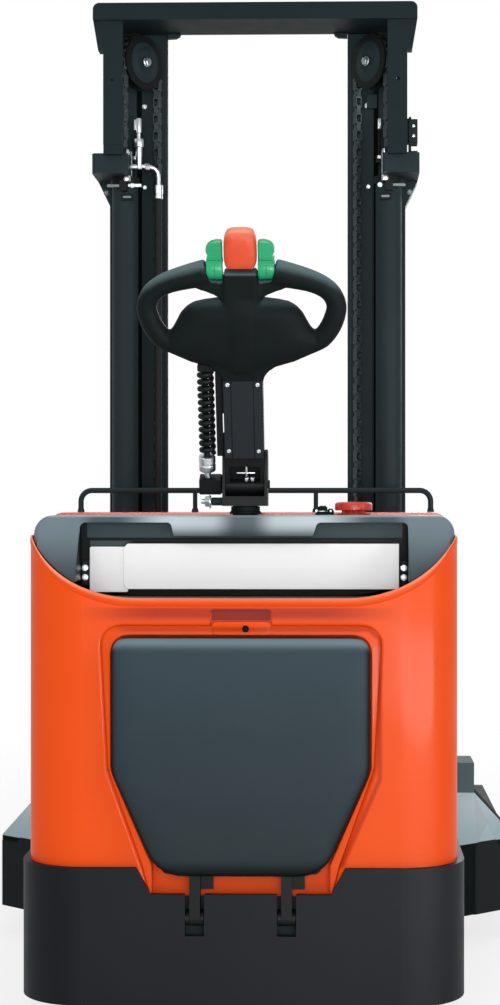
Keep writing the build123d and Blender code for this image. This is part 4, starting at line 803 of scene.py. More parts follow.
def tiller_head():
    """Broad hub, neck, webs and two hand loops, moulded as one skin with seats cut for three buttons."""
    piece = Piece("head_moulding")
    half = [(0, 388), (36, 387), (70, 383), (92, 378), (105, 370), (116, 358), (124.5, 342), (131.5, 329)]
    half += [(141, 318), (150, 304), (147, 287), (137, 276), (103, 260), (64, 248), (36, 241), (0, 238)]
    outline = half + mirrored(reversed(half[1:-1]))
    middle = 318.0
    rings = []
    depths = [(-31, 0.40), (-30, 0.58), (-27, 0.74), (-21, 0.88), (-12, 0.97)]
    depths += [(0, 1.0), (12, 0.97), (21, 0.88), (27, 0.74), (30, 0.5)]
    for depth, share in depths:
        rings.append([(x * share, depth, middle + (h - middle) * share) for x, h in outline])
    piece.faces(rings, TILLER)
    route = [(62, 0, 437), (88, 0, 430.5), (112, 0, 424.5), (133, 0, 418), (153, 0, 408.5), (170, 0, 394)]
    route += [(179.5, 0, 371), (176, 0, 348), (166.5, 0, 325.5), (151, 0, 305), (129, 0, 291), (100, 0, 277)]
    sizes = [25.5, 24.5, 22.8, 21.2, 20.0, 19.2, 19.3, 20.2, 20.3, 20.0, 17.5, 15.0]
    steps = 6
    path = smooth_path(route, steps)
    radii = []
    for k in range(len(path)):
        low = min(k // steps, len(sizes) - 2)
        share = k / steps - low
        radii.append(sizes[low] * (1 - share) + sizes[low + 1] * share)
    piece.tube(path, radii, TILLER, sides=20)
    piece.tube(mirrored(path), radii, TILLER, sides=20)
    web = [(28, 384), (34, 387), (57, 399), (81, 407.5), (86, 420), (66, 424), (28, 421)]
    for points in (web, mirrored(web)):
        piece.prism(points, -17, 17, TILLER_UPRIGHT)
    neck = rounded(oblong(-32, 32, 376, 440), 4.0)
    piece.prism(neck, -21, 24, TILLER_UPRIGHT, edge=3.0)
    girths = [(242, 27, 25), (258, 30, 29.5), (290, 32, 32.6), (330, 33, 33.4)]
    girths += [(360, 33, 32), (385, 32, 26), (400, 30, 20)]
    column = []
    for height, wide, deep in girths:
        column.append([(x, y, height) for x, y in squircle(wide, deep, power=4.0, count=28)])
    piece.faces(column, TILLER)
    flare = both_sides([(38.3, 208), (38.8, 222), (42.5, 234), (50, 244), (62, 252)])
    piece.prism(flare, -20.5, 21, TILLER_UPRIGHT, edge=1.0)
    made = piece.finish(None, "black_plastic", smooth=35.0)
    settle(made, voxel=0.0030, rounds=9)
    holes = Piece("button_seats")
    for across in (-62, 0, 62):
        seat = TILLER @ Matrix.Translation((across, 15.5, 324)) @ Z_FORWARD
        holes.lathe([(13.8, 0), (13.8, 34)], seat, sides=28)
    cutter = holes.finish(None, "black_plastic", smooth=35.0)
    carve = made.modifiers.new("seats", "BOOLEAN")
    carve.object = cutter
    carve.solver = "EXACT"
    keep_modified(made)
    made.data.set_sharp_from_angle(angle=math.radians(50.0))
    bpy.data.objects.remove(cutter)
    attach(made, "tiller")
    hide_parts("tiller_head")


def belly_button():
    """Barrel-shaped cap with full rounded ends, open below where it slides over the spine."""
    piece = Piece("belly_cap")
    foot, ceiling = 449, 489
    levels = [(foot, 0.80), (450, 0.87), (453, 0.93), (460, 0.98), (472, 1.0), (486, 1.0)]
    levels += [(498, 0.985), (506, 0.95), (512, 0.89), (516.5, 0.79), (519, 0.64), (520, 0.34)]
    outer = [[(x * s, y * s, h) for x, y in squircle(31, 26, power=3.6, count=40)] for h, s in levels]
    inner = [[(x, y, h) for x, y in squircle(24.4, 20.4, power=12.0, count=40)] for h in (ceiling, foot)]
    piece.faces(list(reversed(outer)) + [inner[-1]], TILLER, caps=False)
    piece.cap(outer[-1], TILLER)
    piece.faces(inner, TILLER, caps=False)
    piece.cap(inner[0], TILLER)
    bmesh.ops.remove_doubles(piece.mesh, verts=piece.mesh.verts, dist=0.00002)
    piece.finish("belly", "orange_button", smooth=50.0, stands_for=["belly_button"])


def thumb_levers():
    """A fan-shaped paddle above a round collar on each side."""
    piece = Piece("thumb_paddles")
    fan = [(33, 460), (63, 460), (61, 466), (61.5, 473), (64.5, 480), (64, 486)]
    fan += [(60.5, 491.5), (54, 496), (45, 498.5), (36, 498), (33, 495.5)]
    collar = [(19.0, 0.0), (20.4, 0.8), (21.0, 2.4), (21.0, 14.6), (20.2, 15.2)]
    collar += [(20.2, 15.8), (21.0, 16.4), (21.0, 28.6), (20.4, 30.2), (19.0, 31.0)]
    for sign, outward in ((1, Z_RIGHT), (-1, Z_LEFT)):
        points = [(sign * x, h) for x, h in fan]
        piece.prism(points, -11, 13, TILLER_UPRIGHT, edge=2.5)
        shelf = oblong(sign * 33, sign * 63.5, 455, 464)
        piece.prism(shelf, -16, 17, TILLER_UPRIGHT, edge=1.5)
        piece.lathe(collar, TILLER @ Matrix.Translation((sign * 33, 0, 444)) @ outward, sides=32)
    piece.finish("throttle", "green_lever", stands_for=["thumb_levers"])


def return_spring():
    """One thick wire wound round the strut's rod."""
    piece = Piece("spring_coil")
    centre, low, radius, wire = -72.5, 67.0, 11.7, 5.2
    turns, pitch, per_turn = 12, 14.2, 20
    path = []
    for k in range(turns * per_turn + 1):
        turn = 2 * math.pi * k / per_turn
        path.append((centre + radius * math.cos(turn), radius * math.sin(turn), low + pitch * k / per_turn))
    piece.tube(path, wire, TILLER, sides=12)
    piece.finish("tiller", "black_paint", coil_black, smooth=60.0, stands_for=["return_spring"])


def spring_strut():
    """Block on the tilt pin, plated sleeve on a thinner neck, dark rod with its eye, and the guide bar."""
    beside = TILLER @ Matrix.Translation((-74, 0, 0))
    dark = Piece("strut_block")
    block = rounded(oblong(-90.5, -46.5, -16, 16), 3.5)
    dark.prism(block, -16, 16, TILLER_UPRIGHT, edge=1.6)
    dark.lathe([(6.2, 15.0), (6.2, 244.0)], beside, sides=20)
    eye = rounded(oblong(-87.0, -36.0, 241, 255), 4.0)
    dark.prism(eye, -12, 12, TILLER_UPRIGHT, edge=1.2)
    guide = rounded(oblong(-53.6, -41.6, 64, 238), 2.0)
    dark.prism(guide, -9, 9, TILLER_UPRIGHT, edge=1.0)
    for low, high in ((64, 108), (153, 238)):
        dark.prism(oblong(-43, -36, low, high), -7, 7, TILLER_UPRIGHT, edge=0.5)
    dark.finish("tiller", "black_paint", coil_black, stands_for=["spring_strut"])
    sleeve = Piece("strut_sleeve")
    rims = [(6.6, 15.5), (6.6, 30.0), (15.4, 30.4), (16.4, 31.6), (16.4, 43.0), (15.4, 44.0)]
    rims += [(15.4, 46.5), (16.4, 47.5), (16.4, 60.4), (15.4, 61.4), (6.6, 61.4)]
    sleeve.lathe(rims, beside, sides=28)
    sleeve.finish("tiller", "bright_steel")


def tiller_fittings():
    """Front panel with its screws, linkage and web in the yoke, tilt stop, and the column's collar."""
    panel = Piece("panel_moulding")
    for left, right, face in [(-37.6, -23.6, 23.2), (-22.4, 19.4, 24.0), (20.6, 37.6, 23.2)]:
        strip = rounded(oblong(left, right, 65, 226), 2.0, steps=3)
        panel.prism(strip, 20.0, face, TILLER_UPRIGHT, edge=0.6)
    panel.prism(oblong(-37.0, 37.0, 66, 225), 19.5, 22.0, TILLER_UPRIGHT)
    panel.finish("tiller", "black_plastic", panel_grain, smooth=30.0, stands_for=["tiller_panel"])
    bright = Piece("tiller_screws")
    for across in (-29.5, 28.5):
        for height in (81, 219):
            bright.screw(TILLER @ Matrix.Translation((across, -22.8, height)) @ Z_REARWARD, 4.6)
    linkage = TILLER @ Matrix.Translation((3, -15, 0))
    bright.lathe([(2.2, 24), (2.4, 25), (2.4, 56), (1.8, 58)], linkage, sides=14)
    cross_pin = linkage @ Matrix.Translation((0, 0, 31)) @ Z_RIGHT
    bright.lathe([(2.0, -19), (2.2, -18), (2.2, 16), (2.0, 17)], cross_pin, sides=12)
    nut = [(4.6, 14), (5.0, 15), (5.0, 21), (4.6, 22)]
    for across in (0, 12):
        bright.lathe(nut, linkage @ Matrix.Translation((across, 0, 0)), sides=6)
    bright.finish("tiller", "bright_steel")
    stop = Piece("tilt_stop_bolt")
    stop_end = placed(-68, TILLER_DEPTH, 982, LEFTWARD)
    stop.bolt(stop_end, 12.5)
    stop.lathe([(5.0, 0), (5.0, 18), (4.5, 19)], stop_end, sides=14)
    stop.finish("steering", "bright_steel")
    spacer = Piece("tilt_stop_spacer")
    tube_end = placed(-44, TILLER_DEPTH, 982, LEFTWARD)
    spacer.lathe([(7.2, 0), (8, 0.8), (8, 22), (7.2, 23.2)], tube_end, sides=20)
    spacer.finish("steering", "black_paint")
    web = Piece("yoke_web")
    plate = rounded(oblong(-39, 39, 976, 996), 3.0)
    web.prism(plate, -229.0, -224.0, FRAME_UPRIGHT, edge=0.8)
    web.finish("steering", "black_paint", coil_black)
    collar = Piece("column_collar")
    ring = [(26, 957), (30, 957), (31, 958), (31, 962), (28.5, 963.5), (28.5, 972), (26, 972.5)]
    collar.lathe(ring, placed(0, TILLER_DEPTH, 0), sides=36)
    collar.finish("steering", "black_plastic")


tiller_head()
belly_button()
thumb_levers()
return_spring()
spring_strut()
tiller_fittings()


# Body trim, switches and platform

RIM_Z = 799.0
RIM_FLAT = 200.0
RIM_SWEEP = 250.0
PAD_OUTLINE = both_sides([(242.0, 728.0), (242.0, 476.0), (155.0, 281.0)])


def rim_height(x):
    """Height of the rear cover's rim, flat in the middle and swept up towards both sides."""
    beyond = max(0.0, abs(x) - RIM_FLAT)
    return RIM_Z + RIM_SWEEP - math.sqrt(RIM_SWEEP ** 2 - beyond ** 2)


def cover_plan():
    """Points round the rear cover, from the right side's front edge to the left side's."""
    half, rear, corner = 411.5, 13.5, 111.5
    right = [(half, 650.0), (half, 400.0)]
    right += arc_points((half - corner, rear + corner), corner, start=0.0, end=-90.0, steps=18)
    middle = [(x, rear) for x in range(280, -281, -20)]
    return right + middle + mirrored(reversed(right))


def rim_lip():
    """Rolled lip along the rear cover's rim."""
    piece = Piece("rim_lip")
    section = [(-3.6, -1.0), (-3.2, 0.6), (-1.6, 1.5), (0.6, 1.2), (2.6, -0.6), (3.8, -3.6)]
    section += [(4.0, -7.0), (3.2, -10.5), (1.4, -13.4), (-0.8, -15.0), (-2.0, -12.0)]
    plan = [Vector(p) for p in cover_plan()]
    rings = []
    for place, along in zip(plan, headings(plan)):
        outward = Vector((-along.y, along.x))
        top = rim_height(place.x)
        # The roll stands out less towards the cover's sides
        flat = max(0.0, min(1.0, (abs(place.x) - 330.0) / 75.0))
        share = 1.0 - 0.8 * flat * flat * (3.0 - 2.0 * flat)
        reach = [(out * share if out > 0 else out, up) for out, up in section]
        rings.append([(*(place + outward * out), top + up) for out, up in reach])
    piece.faces(rings, FRAME_MM)
    piece.finish("chassis", "orange_cover", rim_painted_highlight(), smooth=60.0)


def latch():
    """Tab below the latch pocket with the sunk screw that holds it."""
    tab = Piece("latch_tab")
    shape = rounded([(-57, 730.5), (60, 730.5), (57, 757), (-55, 757)], [8, 8, 10, 10])
    tab.prism(shape, -36.0, -11.2, FRAME_UPRIGHT, edge=4.0)
    tab.finish("chassis", "orange_cover", smooth=50.0, rounding=1.6)
    ring = Piece("latch_screw")
    cup = [(6.4, 0.0), (6.6, 1.2), (5.6, 1.8), (4.4, 1.2), (3.6, -2.5), (0.4, -2.6)]
    ring.lathe(cup, placed(9, 11.2, 743, REARWARD), sides=24)
    ring.finish("chassis", "black_plastic")


def panel_bolts():
    """Two bolts beside each end of the white panel, on the tabs that carry it."""
    bolts = Piece("panel_bolts")
    tabs = Piece("panel_tabs")
    for side in (-309.5, 309.5):
        for height in (853.0, 834.5):
            bolts.bolt(placed(side, 141.5, height, REARWARD, turn=15.0), 5.6)
        shape = rounded(oblong(side - 6.5, side + 6.5, 818, 868), 3.0)
        tabs.prism(shape, -149.8, -141.5, FRAME_UPRIGHT, edge=1.0)
    bolts.finish("chassis", "bright_steel")
    tabs.finish("chassis", "black_paint", coil_black)


def emergency_stop():
    """Mushroom cap over a ribbed collar on a red flange."""
    stand = placed(213, 250, 0)
    cap = Piece("stop_cap")
    shape = [(8.0, 938.0), (8.0, 972.0), (24.8, 972.0), (25.2, 964.8), (35.6, 964.2), (37.2, 965.2)]
    shape += [(37.4, 967.2), (37.4, 975.0), (36.6, 977.8), (34.2, 979.8), (28.0, 981.0), (0.5, 981.6)]
    cap.lathe(shape, stand, sides=48)
    cap.finish("emergency_stop", "red_knob", smooth=35.0, stands_for=["stop_knob"])
    base = Piece("stop_collar")
    flange = [(9.0, 955.2), (33.4, 955.2), (34.4, 955.8), (34.4, 957.4), (33.0, 958.2), (9.0, 958.2)]
    base.lathe(flange, stand, sides=48)
    ribs, per_rib = 14, 8
    outline = []
    for k, (c, s) in enumerate(circle(per_rib * ribs)):
        wave = math.cos(2 * math.pi * k / per_rib)
        radius = 21.6 + 1.9 * max(-1.0, min(1.0, 2.2 * wave))
        outline.append((radius * c, radius * s))
    base.prism(outline, 957.8, 964.4, stand, edge=0.4)
    base.finish("chassis", "red_knob", stands_for=["switch_bases"])


def key_switch():
    """Barrel of the key switch with its key, and the small bracket beside the emergency stop."""
    stand = placed(150, 250, 0)
    barrel = Piece("key_barrel")
    shape = [(6.3, 938.0), (8.4, 938.0), (8.4, 955.2), (14.0, 955.2), (14.4, 956.0), (14.4, 957.6)]
    shape += [(12.8, 958.6), (11.6, 961.0), (10.6, 962.0), (6.6, 962.0), (6.3, 961.0)]
    barrel.lathe(shape, stand, sides=32)
    tab = rounded([(161, 955.2), (174, 955.2), (174, 963), (171, 968), (164, 968), (161, 965)], 2.5)
    barrel.prism(tab, -252, -243, FRAME_UPRIGHT, edge=1.2)
    barrel.finish("chassis", "black_plastic", smooth=35.0)
    trim = Piece("key_ring")
    trim.lathe([(6.5, 961.6), (10.2, 961.6), (10.4, 962.4), (9.4, 963.4), (6.6, 963.4)], stand, sides=28)
    trim.screw(placed(167.5, 243, 963, REARWARD), 2.8)
    trim.finish("chassis", "bright_steel")
    shank = Piece("key_shank")
    shank.lathe([(1.0, 940.0), (5.9, 940.0), (5.9, 962.6), (5.0, 963.2), (1.0, 963.2)], stand, sides=24)
    blade = rounded(oblong(137, 154, 959, 966), 1.0, steps=3)
    shank.prism(blade, -251.4, -248.6, FRAME_UPRIGHT, edge=0.3)
    shank.finish("key", "bright_steel", stands_for=["ignition_key"])
    bow = Piece("key_bow")
    outline = [(141, 962), (145, 959.5), (157, 959.5), (161, 962)]
    outline += [(161, 970), (157, 973.5), (146, 973.5), (141, 970)]
    bow.prism(rounded(outline, 3.0, steps=4), -253.0, -247.0, FRAME_UPRIGHT, edge=1.4)
    bow.finish("key", "black_plastic")


def inset(points, distance):
    """Outline with each side moved inward by a distance."""
    out = []
    count = len(points)
    for i, corner in enumerate(points):
        here = Vector(corner)
        first = (here - Vector(points[i - 1])).normalized()
        second = (Vector(points[(i + 1) % count]) - here).normalized()
        inward = [Vector((way.y, -way.x)) for way in (first, second)]
        lean = (inward[0] + inward[1]) / (1.0 + inward[0].dot(inward[1]))
        out.append(here + lean * distance)
    return out


def pad_cushion():
    """Folded platform's underside: a soft-edged moulding, straight to its waist and narrowed to its foot."""
    piece = Piece("pad_cushion")
    bends = [36, 36, 90, 78, 78, 90]
    levels = [(24, 6), (20, 1.5), (12, 0.3), (2, 0), (-2, 0.8), (-6, 2.6), (-9.5, 5.4), (-12.5, 9.2)]
    levels += [(-15, 14), (-17, 20), (-18.4, 27), (-19.3, 35), (-19.9, 46), (-20.3, 80), (-20.6, 130)]
    rings = []
    for depth, edge in levels:
        smaller = [max(8.0, bend - 0.5 * edge) for bend in bends]
        rings.append([(p[0], depth, p[1]) for p in rounded(inset(PAD_OUTLINE, edge), smaller, steps=8)])
    piece.faces(rings, FRAME_MM)
    piece.finish("platform", "slate_pad", stands_for=["platform_pad"])


def recess_liner():
    """Orange moulding that fills the platform's recess up to a narrow gap round the pad."""
    piece = Piece("recess_liner")
    mouth = both_sides([(262.0, 746.0), (248.0, 478.0), (184.0, 296.0)])
    steps = 8
    per_bend = steps + 1
    inner = rounded(inset(PAD_OUTLINE, -2.5), [38, 38, 92, 80, 80, 92], steps)
    outer = rounded(inset(mouth, 0.5), [37, 37, 30, 20, 20, 30], steps)
    foot_inner = [(166.5, 300.0), (166.5, 272.0), (167.6, 246.0)]
    foot_outer = [(184.6, 300.0), (177.6, 272.0), (170.4, 246.0)]
    # Up from the left foot by the left waist, over the head, and down by the right waist to the right foot
    inner = mirrored(reversed(foot_inner)) + inner[5 * per_bend:] + inner[:3 * per_bend] + foot_inner
    outer = mirrored(reversed(foot_outer)) + outer[5 * per_bend:] + outer[:3 * per_bend] + foot_outer
    sections = []
    for near, far in zip(inner, outer):
        near, far = Vector(near), Vector(far)
        out = (far - near).normalized()
        bend = near + out * min(0.5 * (far - near).length, 2.0)
        over = 4.0 if far.y > 300.0 else 0.0
        lap, rim = far + out * over, far + out * 0.75 * over
        front = [(*lap, 13.45), (*lap, 13.2), (*rim, 12.8), (*bend, 12.8), (*near, 14.6)]
        sections.append(front + [(*near, 36.0), (*far, 36.0), (*far, 13.45)])
    piece.faces([[(x, depth, z) for x, z, depth in ring] for ring in sections], FRAME_MM)
    piece.finish("chassis", "orange_cover")


def leg_shoulder(side):
    """Sloped shoulder over a leg's root, its rear face along the leg's mitre."""
    piece = Piece("right_shoulder" if side > 0 else "left_shoulder")
    mitre = [(424.0, 635.6), (581.5, 771.6)]
    front = [(581.5, 864.0), (424.0, 864.0)]
    foot = [(*p, 66.5) for p in mitre + front]
    edge = [(*p, 226.0) for p in mitre + front]
    crown = [(*p, 330.0) for p in oblong(424.0, 487.5, 739.0, 864.0)]
    piece.faces([[(side * x, d, z) for x, d, z in ring] for ring in (foot, edge, crown)], FRAME_MM)
    piece.finish("chassis", "black_paint", shoulder_coat, smooth=20.0, rounding=2.5)


def rail_feet():
    """Welded foot under each end and post of the guard rail."""
    feet = Piece("rail_feet")
    cup = [(0.5, 959.0), (7.4, 959.0), (8.0, 959.6), (8.0, 961.4)]
    cup += [(7.2, 962.4), (6.8, 966.4), (6.2, 967.0), (0.5, 967.0)]
    for side in (-385.0, -133.0, 133.0, 385.0):
        feet.lathe(cup, placed(side, 645, 0.6), sides=24)
    feet.finish("chassis", "black_paint")


def hinge_pin_caps():
    """Caps on the ends of the platform's hinge pins."""
    caps = Piece("hinge_caps")
    cap = [(6.4, 0.0), (6.8, 0.6), (6.4, 2.2), (3.0, 3.0)]
    for hinge in (-86.0, 86.0):
        for side in (-1, 1):
            caps.lathe(cap, placed(hinge + side * 16.6, 17, 200, (side, 0, 0)), sides=20)
    caps.finish("chassis", "bright_steel")


rim_lip()
latch()
panel_bolts()
emergency_stop()
key_switch()
pad_cushion()
recess_liner()
leg_shoulder(-1)
leg_shoulder(1)
rail_feet()
hinge_pin_caps()


# Mast: leaf chains, sheave hubs and the fittings on the mast's head

SHEAVE_X = 258.0
SHEAVE_DEPTH = 694.0
SHEAVE_Z = 1960.0
SHEAVE_TURN = 54.0
CHAIN_RADIUS = 56.0
ANCHOR_Z = 1768.0
CARRIAGE_PIN_Z = 504.8
INNER_PLATES = (0.4, 5.1)
OUTER_PLATES = (5.5, 7.9)
NEST_STEP = 0.04
REAR_RUN = SHEAVE_Z - ANCHOR_Z
OVER_RUN = math.pi * CHAIN_RADIUS
CHAIN_LENGTH = REAR_RUN + OVER_RUN + SHEAVE_Z - CARRIAGE_PIN_Z
LINKS = 96


class ChainLine:
    """Centre line of one chain: up from its anchor, over the turned sheave and down to the carriage."""

    def __init__(self, side):
        turn = math.radians(SHEAVE_TURN)
        self.centre = Vector((side * SHEAVE_X, SHEAVE_DEPTH, SHEAVE_Z))
        self.run = Vector((-side * math.cos(turn), math.sin(turn), 0.0))
        self.axis = Vector((side * math.sin(turn), math.cos(turn), 0.0))

    def place(self, travel):
        """Point of the line at a distance from the anchor."""
        if travel < REAR_RUN:
            return self.centre - self.run * CHAIN_RADIUS + Vector((0, 0, travel - REAR_RUN))
        if travel > REAR_RUN + OVER_RUN:
            drop = travel - REAR_RUN - OVER_RUN
            return self.centre + self.run * CHAIN_RADIUS - Vector((0, 0, drop))
        angle = (travel - REAR_RUN) / CHAIN_RADIUS
        reach = self.run * -math.cos(angle) + Vector((0, 0, math.sin(angle)))
        return self.centre + reach * CHAIN_RADIUS

    def add_links(self, piece, first, last, shrink=0.0):
        """Links from one number to another: pairs of inner plates, then pairs of outer ones, with pins."""
        step = CHAIN_LENGTH / LINKS
        nose, shoulder, waist = 5.2 - shrink, 6.8 - shrink, 5.4 - shrink
        pin_radius, pin_half = 2.9 - shrink, 8.2 - shrink
        half = []
        for angle in range(-105, 106, 30):
            turn = math.radians(angle)
            half.append((step / 2 + nose * math.cos(turn), shoulder * math.sin(turn)))
        outline = half + [(0.0, waist)] + [(-x, -y) for x, y in half] + [(0.0, -waist)]
        for link in range(first, last):
            start, end = self.place(link * step), self.place((link + 1) * step)
            along = (end - start).normalized()
            basis = Matrix((along, self.axis.cross(along), self.axis)).transposed().to_4x4()
            matrix = FRAME_MM @ Matrix.Translation((start + end) / 2) @ basis
            low, high = INNER_PLATES if link % 2 == 0 else OUTER_PLATES
            for near, far in ((low, high), (-high, -low)):
                piece.prism(outline, near + shrink, far - shrink, matrix)
            pin = matrix @ Matrix.Translation((step / 2, 0, 0))
            piece.lathe([(pin_radius, -pin_half), (pin_radius, pin_half)], pin, sides=8)


def carried_share(made):
    """Bakes a piece's placing into its mesh; the piece rides on no body.
    """
    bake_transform(made)


def leaf_chain(name, side):
    """One chain. Its rear run is lengths that lie inside each other; the first rides the chassis, the last
    the inner mast, and those between stay where they are.
    """
    line = ChainLine(side)
    rear_links = 10
    over_links = 20
    lengths = 8
    for k in range(lengths):
        piece = Piece(f"{name}_rear_{k}")
        line.add_links(piece, 0, rear_links, NEST_STEP * k)
        if k == 0:
            piece.finish("chassis", "black_paint", chain_steel)
        elif k == lengths - 1:
            piece.finish("inner_mast", "black_paint", chain_steel)
        else:
            made = piece.finish(None, "black_paint", chain_steel)
            carried_share(made)
    over = Piece(f"{name}_over")
    line.add_links(over, rear_links, over_links)
    over.finish("inner_mast", "black_paint", chain_steel, stands_for=[name])
    front = Piece(f"{name}_front")
    line.add_links(front, over_links, LINKS)
    made = front.finish("inner_mast", "black_paint", chain_steel)
    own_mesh(made)


def sheave_hub(name, side):
    """Bearing boss on the sheave's open face and the bolt in the end of its pin."""
    half_width, pin_stand = 12.0, 4.1
    line = ChainLine(side)
    face = line.centre - line.axis * half_width
    outward = tuple(-line.axis)
    boss = Piece(f"{name}_boss")
    ring = [(11.0, 0.0), (44.0, 0.0), (44.0, 0.4), (30.0, 0.5)]
    ring += [(27.0, 2.4), (22.0, 2.8), (20.0, 1.4), (11.0, 1.2)]
    boss.lathe(ring, placed(*face, outward), sides=40)
    boss.finish(f"{name}_wheel", "black_paint")
    bolt = Piece(f"{name}_bolt")
    bolt.bolt(placed(*(face - line.axis * pin_stand), outward), 9.5)
    bolt.finish("inner_mast", "bright_steel")


def head_block_fittings(side):
    """Plated clamp bars, nuts and studs round one head block, with their dark brackets."""
    word = "right" if side > 0 else "left"
    bright = Piece(f"{word}_head_bolts")
    dark = Piece(f"{word}_head_brackets")
    # Painted shade: this piece holds plated clamps and a nut in a darker copy of the zinc
    shaded = Piece(f"{word}_head_clamps")

    def bar(low, high, bottom, top, near, far, piece):
        shape = rounded(oblong(side * low, side * high, bottom, top), 2.0, steps=3)
        piece.prism(shape, -far, -near, FRAME_UPRIGHT, edge=0.8)

    if side < 0:
        bar(254, 284, 1680, 1687, 668, 674, bright)
    bar(297, 331, 1680, 1686, 668, 674, shaded)
    bar(286, 303, 1671, 1695, 664, 679, dark)
    bar(277, 296, 1656, 1661, 672, 678, shaded)
    bar(272, 300, 1652, 1665, 674, 680, dark)
    bar(266, 284, 1742, 1752, 728, 748, dark)
    for across, depth, height, size in [(249, 690, 1682.5, 4.0), (274, 664, 1682.5, 5.0)]:
        bright.bolt(placed(side * across, depth, height, REARWARD, turn=20.0), size)
    shaded.bolt(placed(side * 343, 763, 1682, REARWARD, turn=20.0), 6.0)
    bright.lathe([(7.2, 0), (8, 1), (8, 12), (7.2, 13)], placed(side * 286, 668, 1692), sides=6)
    bright.lathe([(5.2, 0), (6, 1), (6, 9), (5.2, 10)], placed(side * 286, 652, 1750.2), sides=6)
    bright.lathe([(4.0, 0), (4.4, 0.6), (4.4, 23), (3.6, 24)], placed(side * 274, 738, 1819), sides=14)
    dark.lathe([(3.6, 0), (3.6, 70)], placed(side * 274, 738, 1750), sides=12)
    bright.lathe([(6.4, 0), (7.0, 0.6), (7.0, 7.4), (6.4, 8)], placed(side * 274, 738, 1752), sides=6)
    bright.finish("chassis", "bright_steel")
    dark.finish("chassis", "black_paint", coil_black)
    shaded.finish("chassis", "bright_steel", shaded_zinc)


def inner_mast_bolts():
    """A bolt on each inner column's rear flange, and the trip bracket on the right one."""
    bolts = Piece("inner_mast_bolts")
    for across, size in ((-256, 5.0), (248, 6.0)):
        bolts.bolt(placed(across, 755, 1876, REARWARD, turn=10.0), size)
    bolts.finish("inner_mast", "bright_steel")
    trip = Piece("trip_bracket")
    shape = rounded(oblong(246, 270, 1868, 1900), 3.0)
    trip.prism(shape, -755.0, -747.0, FRAME_UPRIGHT, edge=1.0)
    trip.finish("inner_mast", "black_paint")


def wear_strips():
    """Slide strip along each outer column's mouth, beside the inner column."""
    strips = Piece("mast_wear_strips")
    for side in (-1, 1):
        strips.prism(oblong(side * 262.7, side * 272.8, 849, 863), 66.0, 2029.0, FRAME_MM, edge=0.6)
    strips.finish("chassis", "black_rubber")


def crossbar_details():
    """Crossbar's buffers over the outer columns, hanger tongues and gussets, and the limit switch's arm."""
    buffers = Piece("column_buffers")
    tongues = Piece("hanger_tongues")
    gussets = Piece("crossbar_gussets")
    for side in (-1, 1):
        pad = rounded(oblong(side * 266, side * 326, 734, 756), 3.0)
        buffers.prism(pad, 2030.8, 2036.9, FRAME_MM, edge=0.6)
        tongue = rounded(oblong(side * 290.3, side * 332.7, 1744, 1768), 2.0)
        tongues.prism(tongue, -629.7, -618.3, FRAME_UPRIGHT, edge=0.8)
        corner = [(202.5, 2036.9), (172, 2036.9), (175, 2031), (183, 2027), (202.5, 2026)]
        gussets.prism([(side * x, z) for x, z in corner], -756.0, -742.0, FRAME_UPRIGHT, edge=0.8)
    buffers.finish("inner_mast", "black_rubber")
    tongues.finish("inner_mast", "black_paint", crossbar_coat)
    gussets.finish("inner_mast", "black_paint")
    arm = Piece("limit_switch_arm")
    plate = rounded([(1776, 660), (1828, 660), (1828, 700), (1812, 742), (1790, 742), (1776, 700)], 4.0)
    arm.prism(plate, -338.0, -333.8, FRAME_MM @ Z_LEFT, edge=0.6)
    arm.finish("chassis", "black_paint", coil_black)


def hose_end():
    """Crimped ferrule, bent tube, union nut and the stack of fittings that stands by the left head block."""
    piece = Piece("hose_end")
    ferrule = [(9.0, 1660), (10.2, 1661), (10.2, 1666), (9.4, 1667)]
    ferrule += [(9.4, 1671), (10.2, 1672), (10.2, 1690), (8.0, 1692)]
    piece.lathe(ferrule, placed(-221, 715, 0), sides=24)
    bend = [(-221, 715, 1690), (-221, 715, 1708), (-224, 713, 1722)]
    bend += [(-234, 707, 1729), (-248, 698.5, 1730), (-262, 690, 1730)]
    piece.tube(smooth_path(bend, steps=6), 4.8, FRAME_MM, sides=14)
    union_nut = placed(-245, 700.3, 1730, (-14.0, -8.5, 0.5))
    piece.lathe([(6.2, -6), (7.6, -5), (7.6, 5), (6.2, 6)], union_nut, sides=6)
    stack = [(5.0, 1722), (6.6, 1724), (6.6, 1748), (7.4, 1750), (7.4, 1771), (9.6, 1772), (10.6, 1774)]
    stack += [(10.6, 1788), (9.4, 1790), (4.0, 1791), (4.0, 1803), (5.6, 1804), (6.0, 1806)]
    stack += [(6.0, 1834), (5.2, 1836)]
    piece.lathe(stack, placed(-262, 690, 0), sides=18)
    piece.lathe([(6.5, 0), (6.5, 18)], placed(-280, 690, 1728, (1, 0, 0)), sides=16)
    piece.finish("chassis", "bright_steel", smooth=35.0, stands_for=["hose_fittings"])


def limit_switch_screws():
    """Two screws in the limit switch's cover."""
    screws = Piece("limit_switch_screws")
    for height in (1789.0, 1811.0):
        screws.screw(placed(348, 660, height, REARWARD), 3.8)
    screws.finish("chassis", "bright_steel")


leaf_chain("left_chain", -1)
leaf_chain("right_chain", 1)
sheave_hub("left_sheave", -1)
sheave_hub("right_sheave", 1)
head_block_fittings(-1)
head_block_fittings(1)
inner_mast_bolts()
wear_strips()
crossbar_details()
hose_end()
limit_switch_screws()


# Camera, light and floor

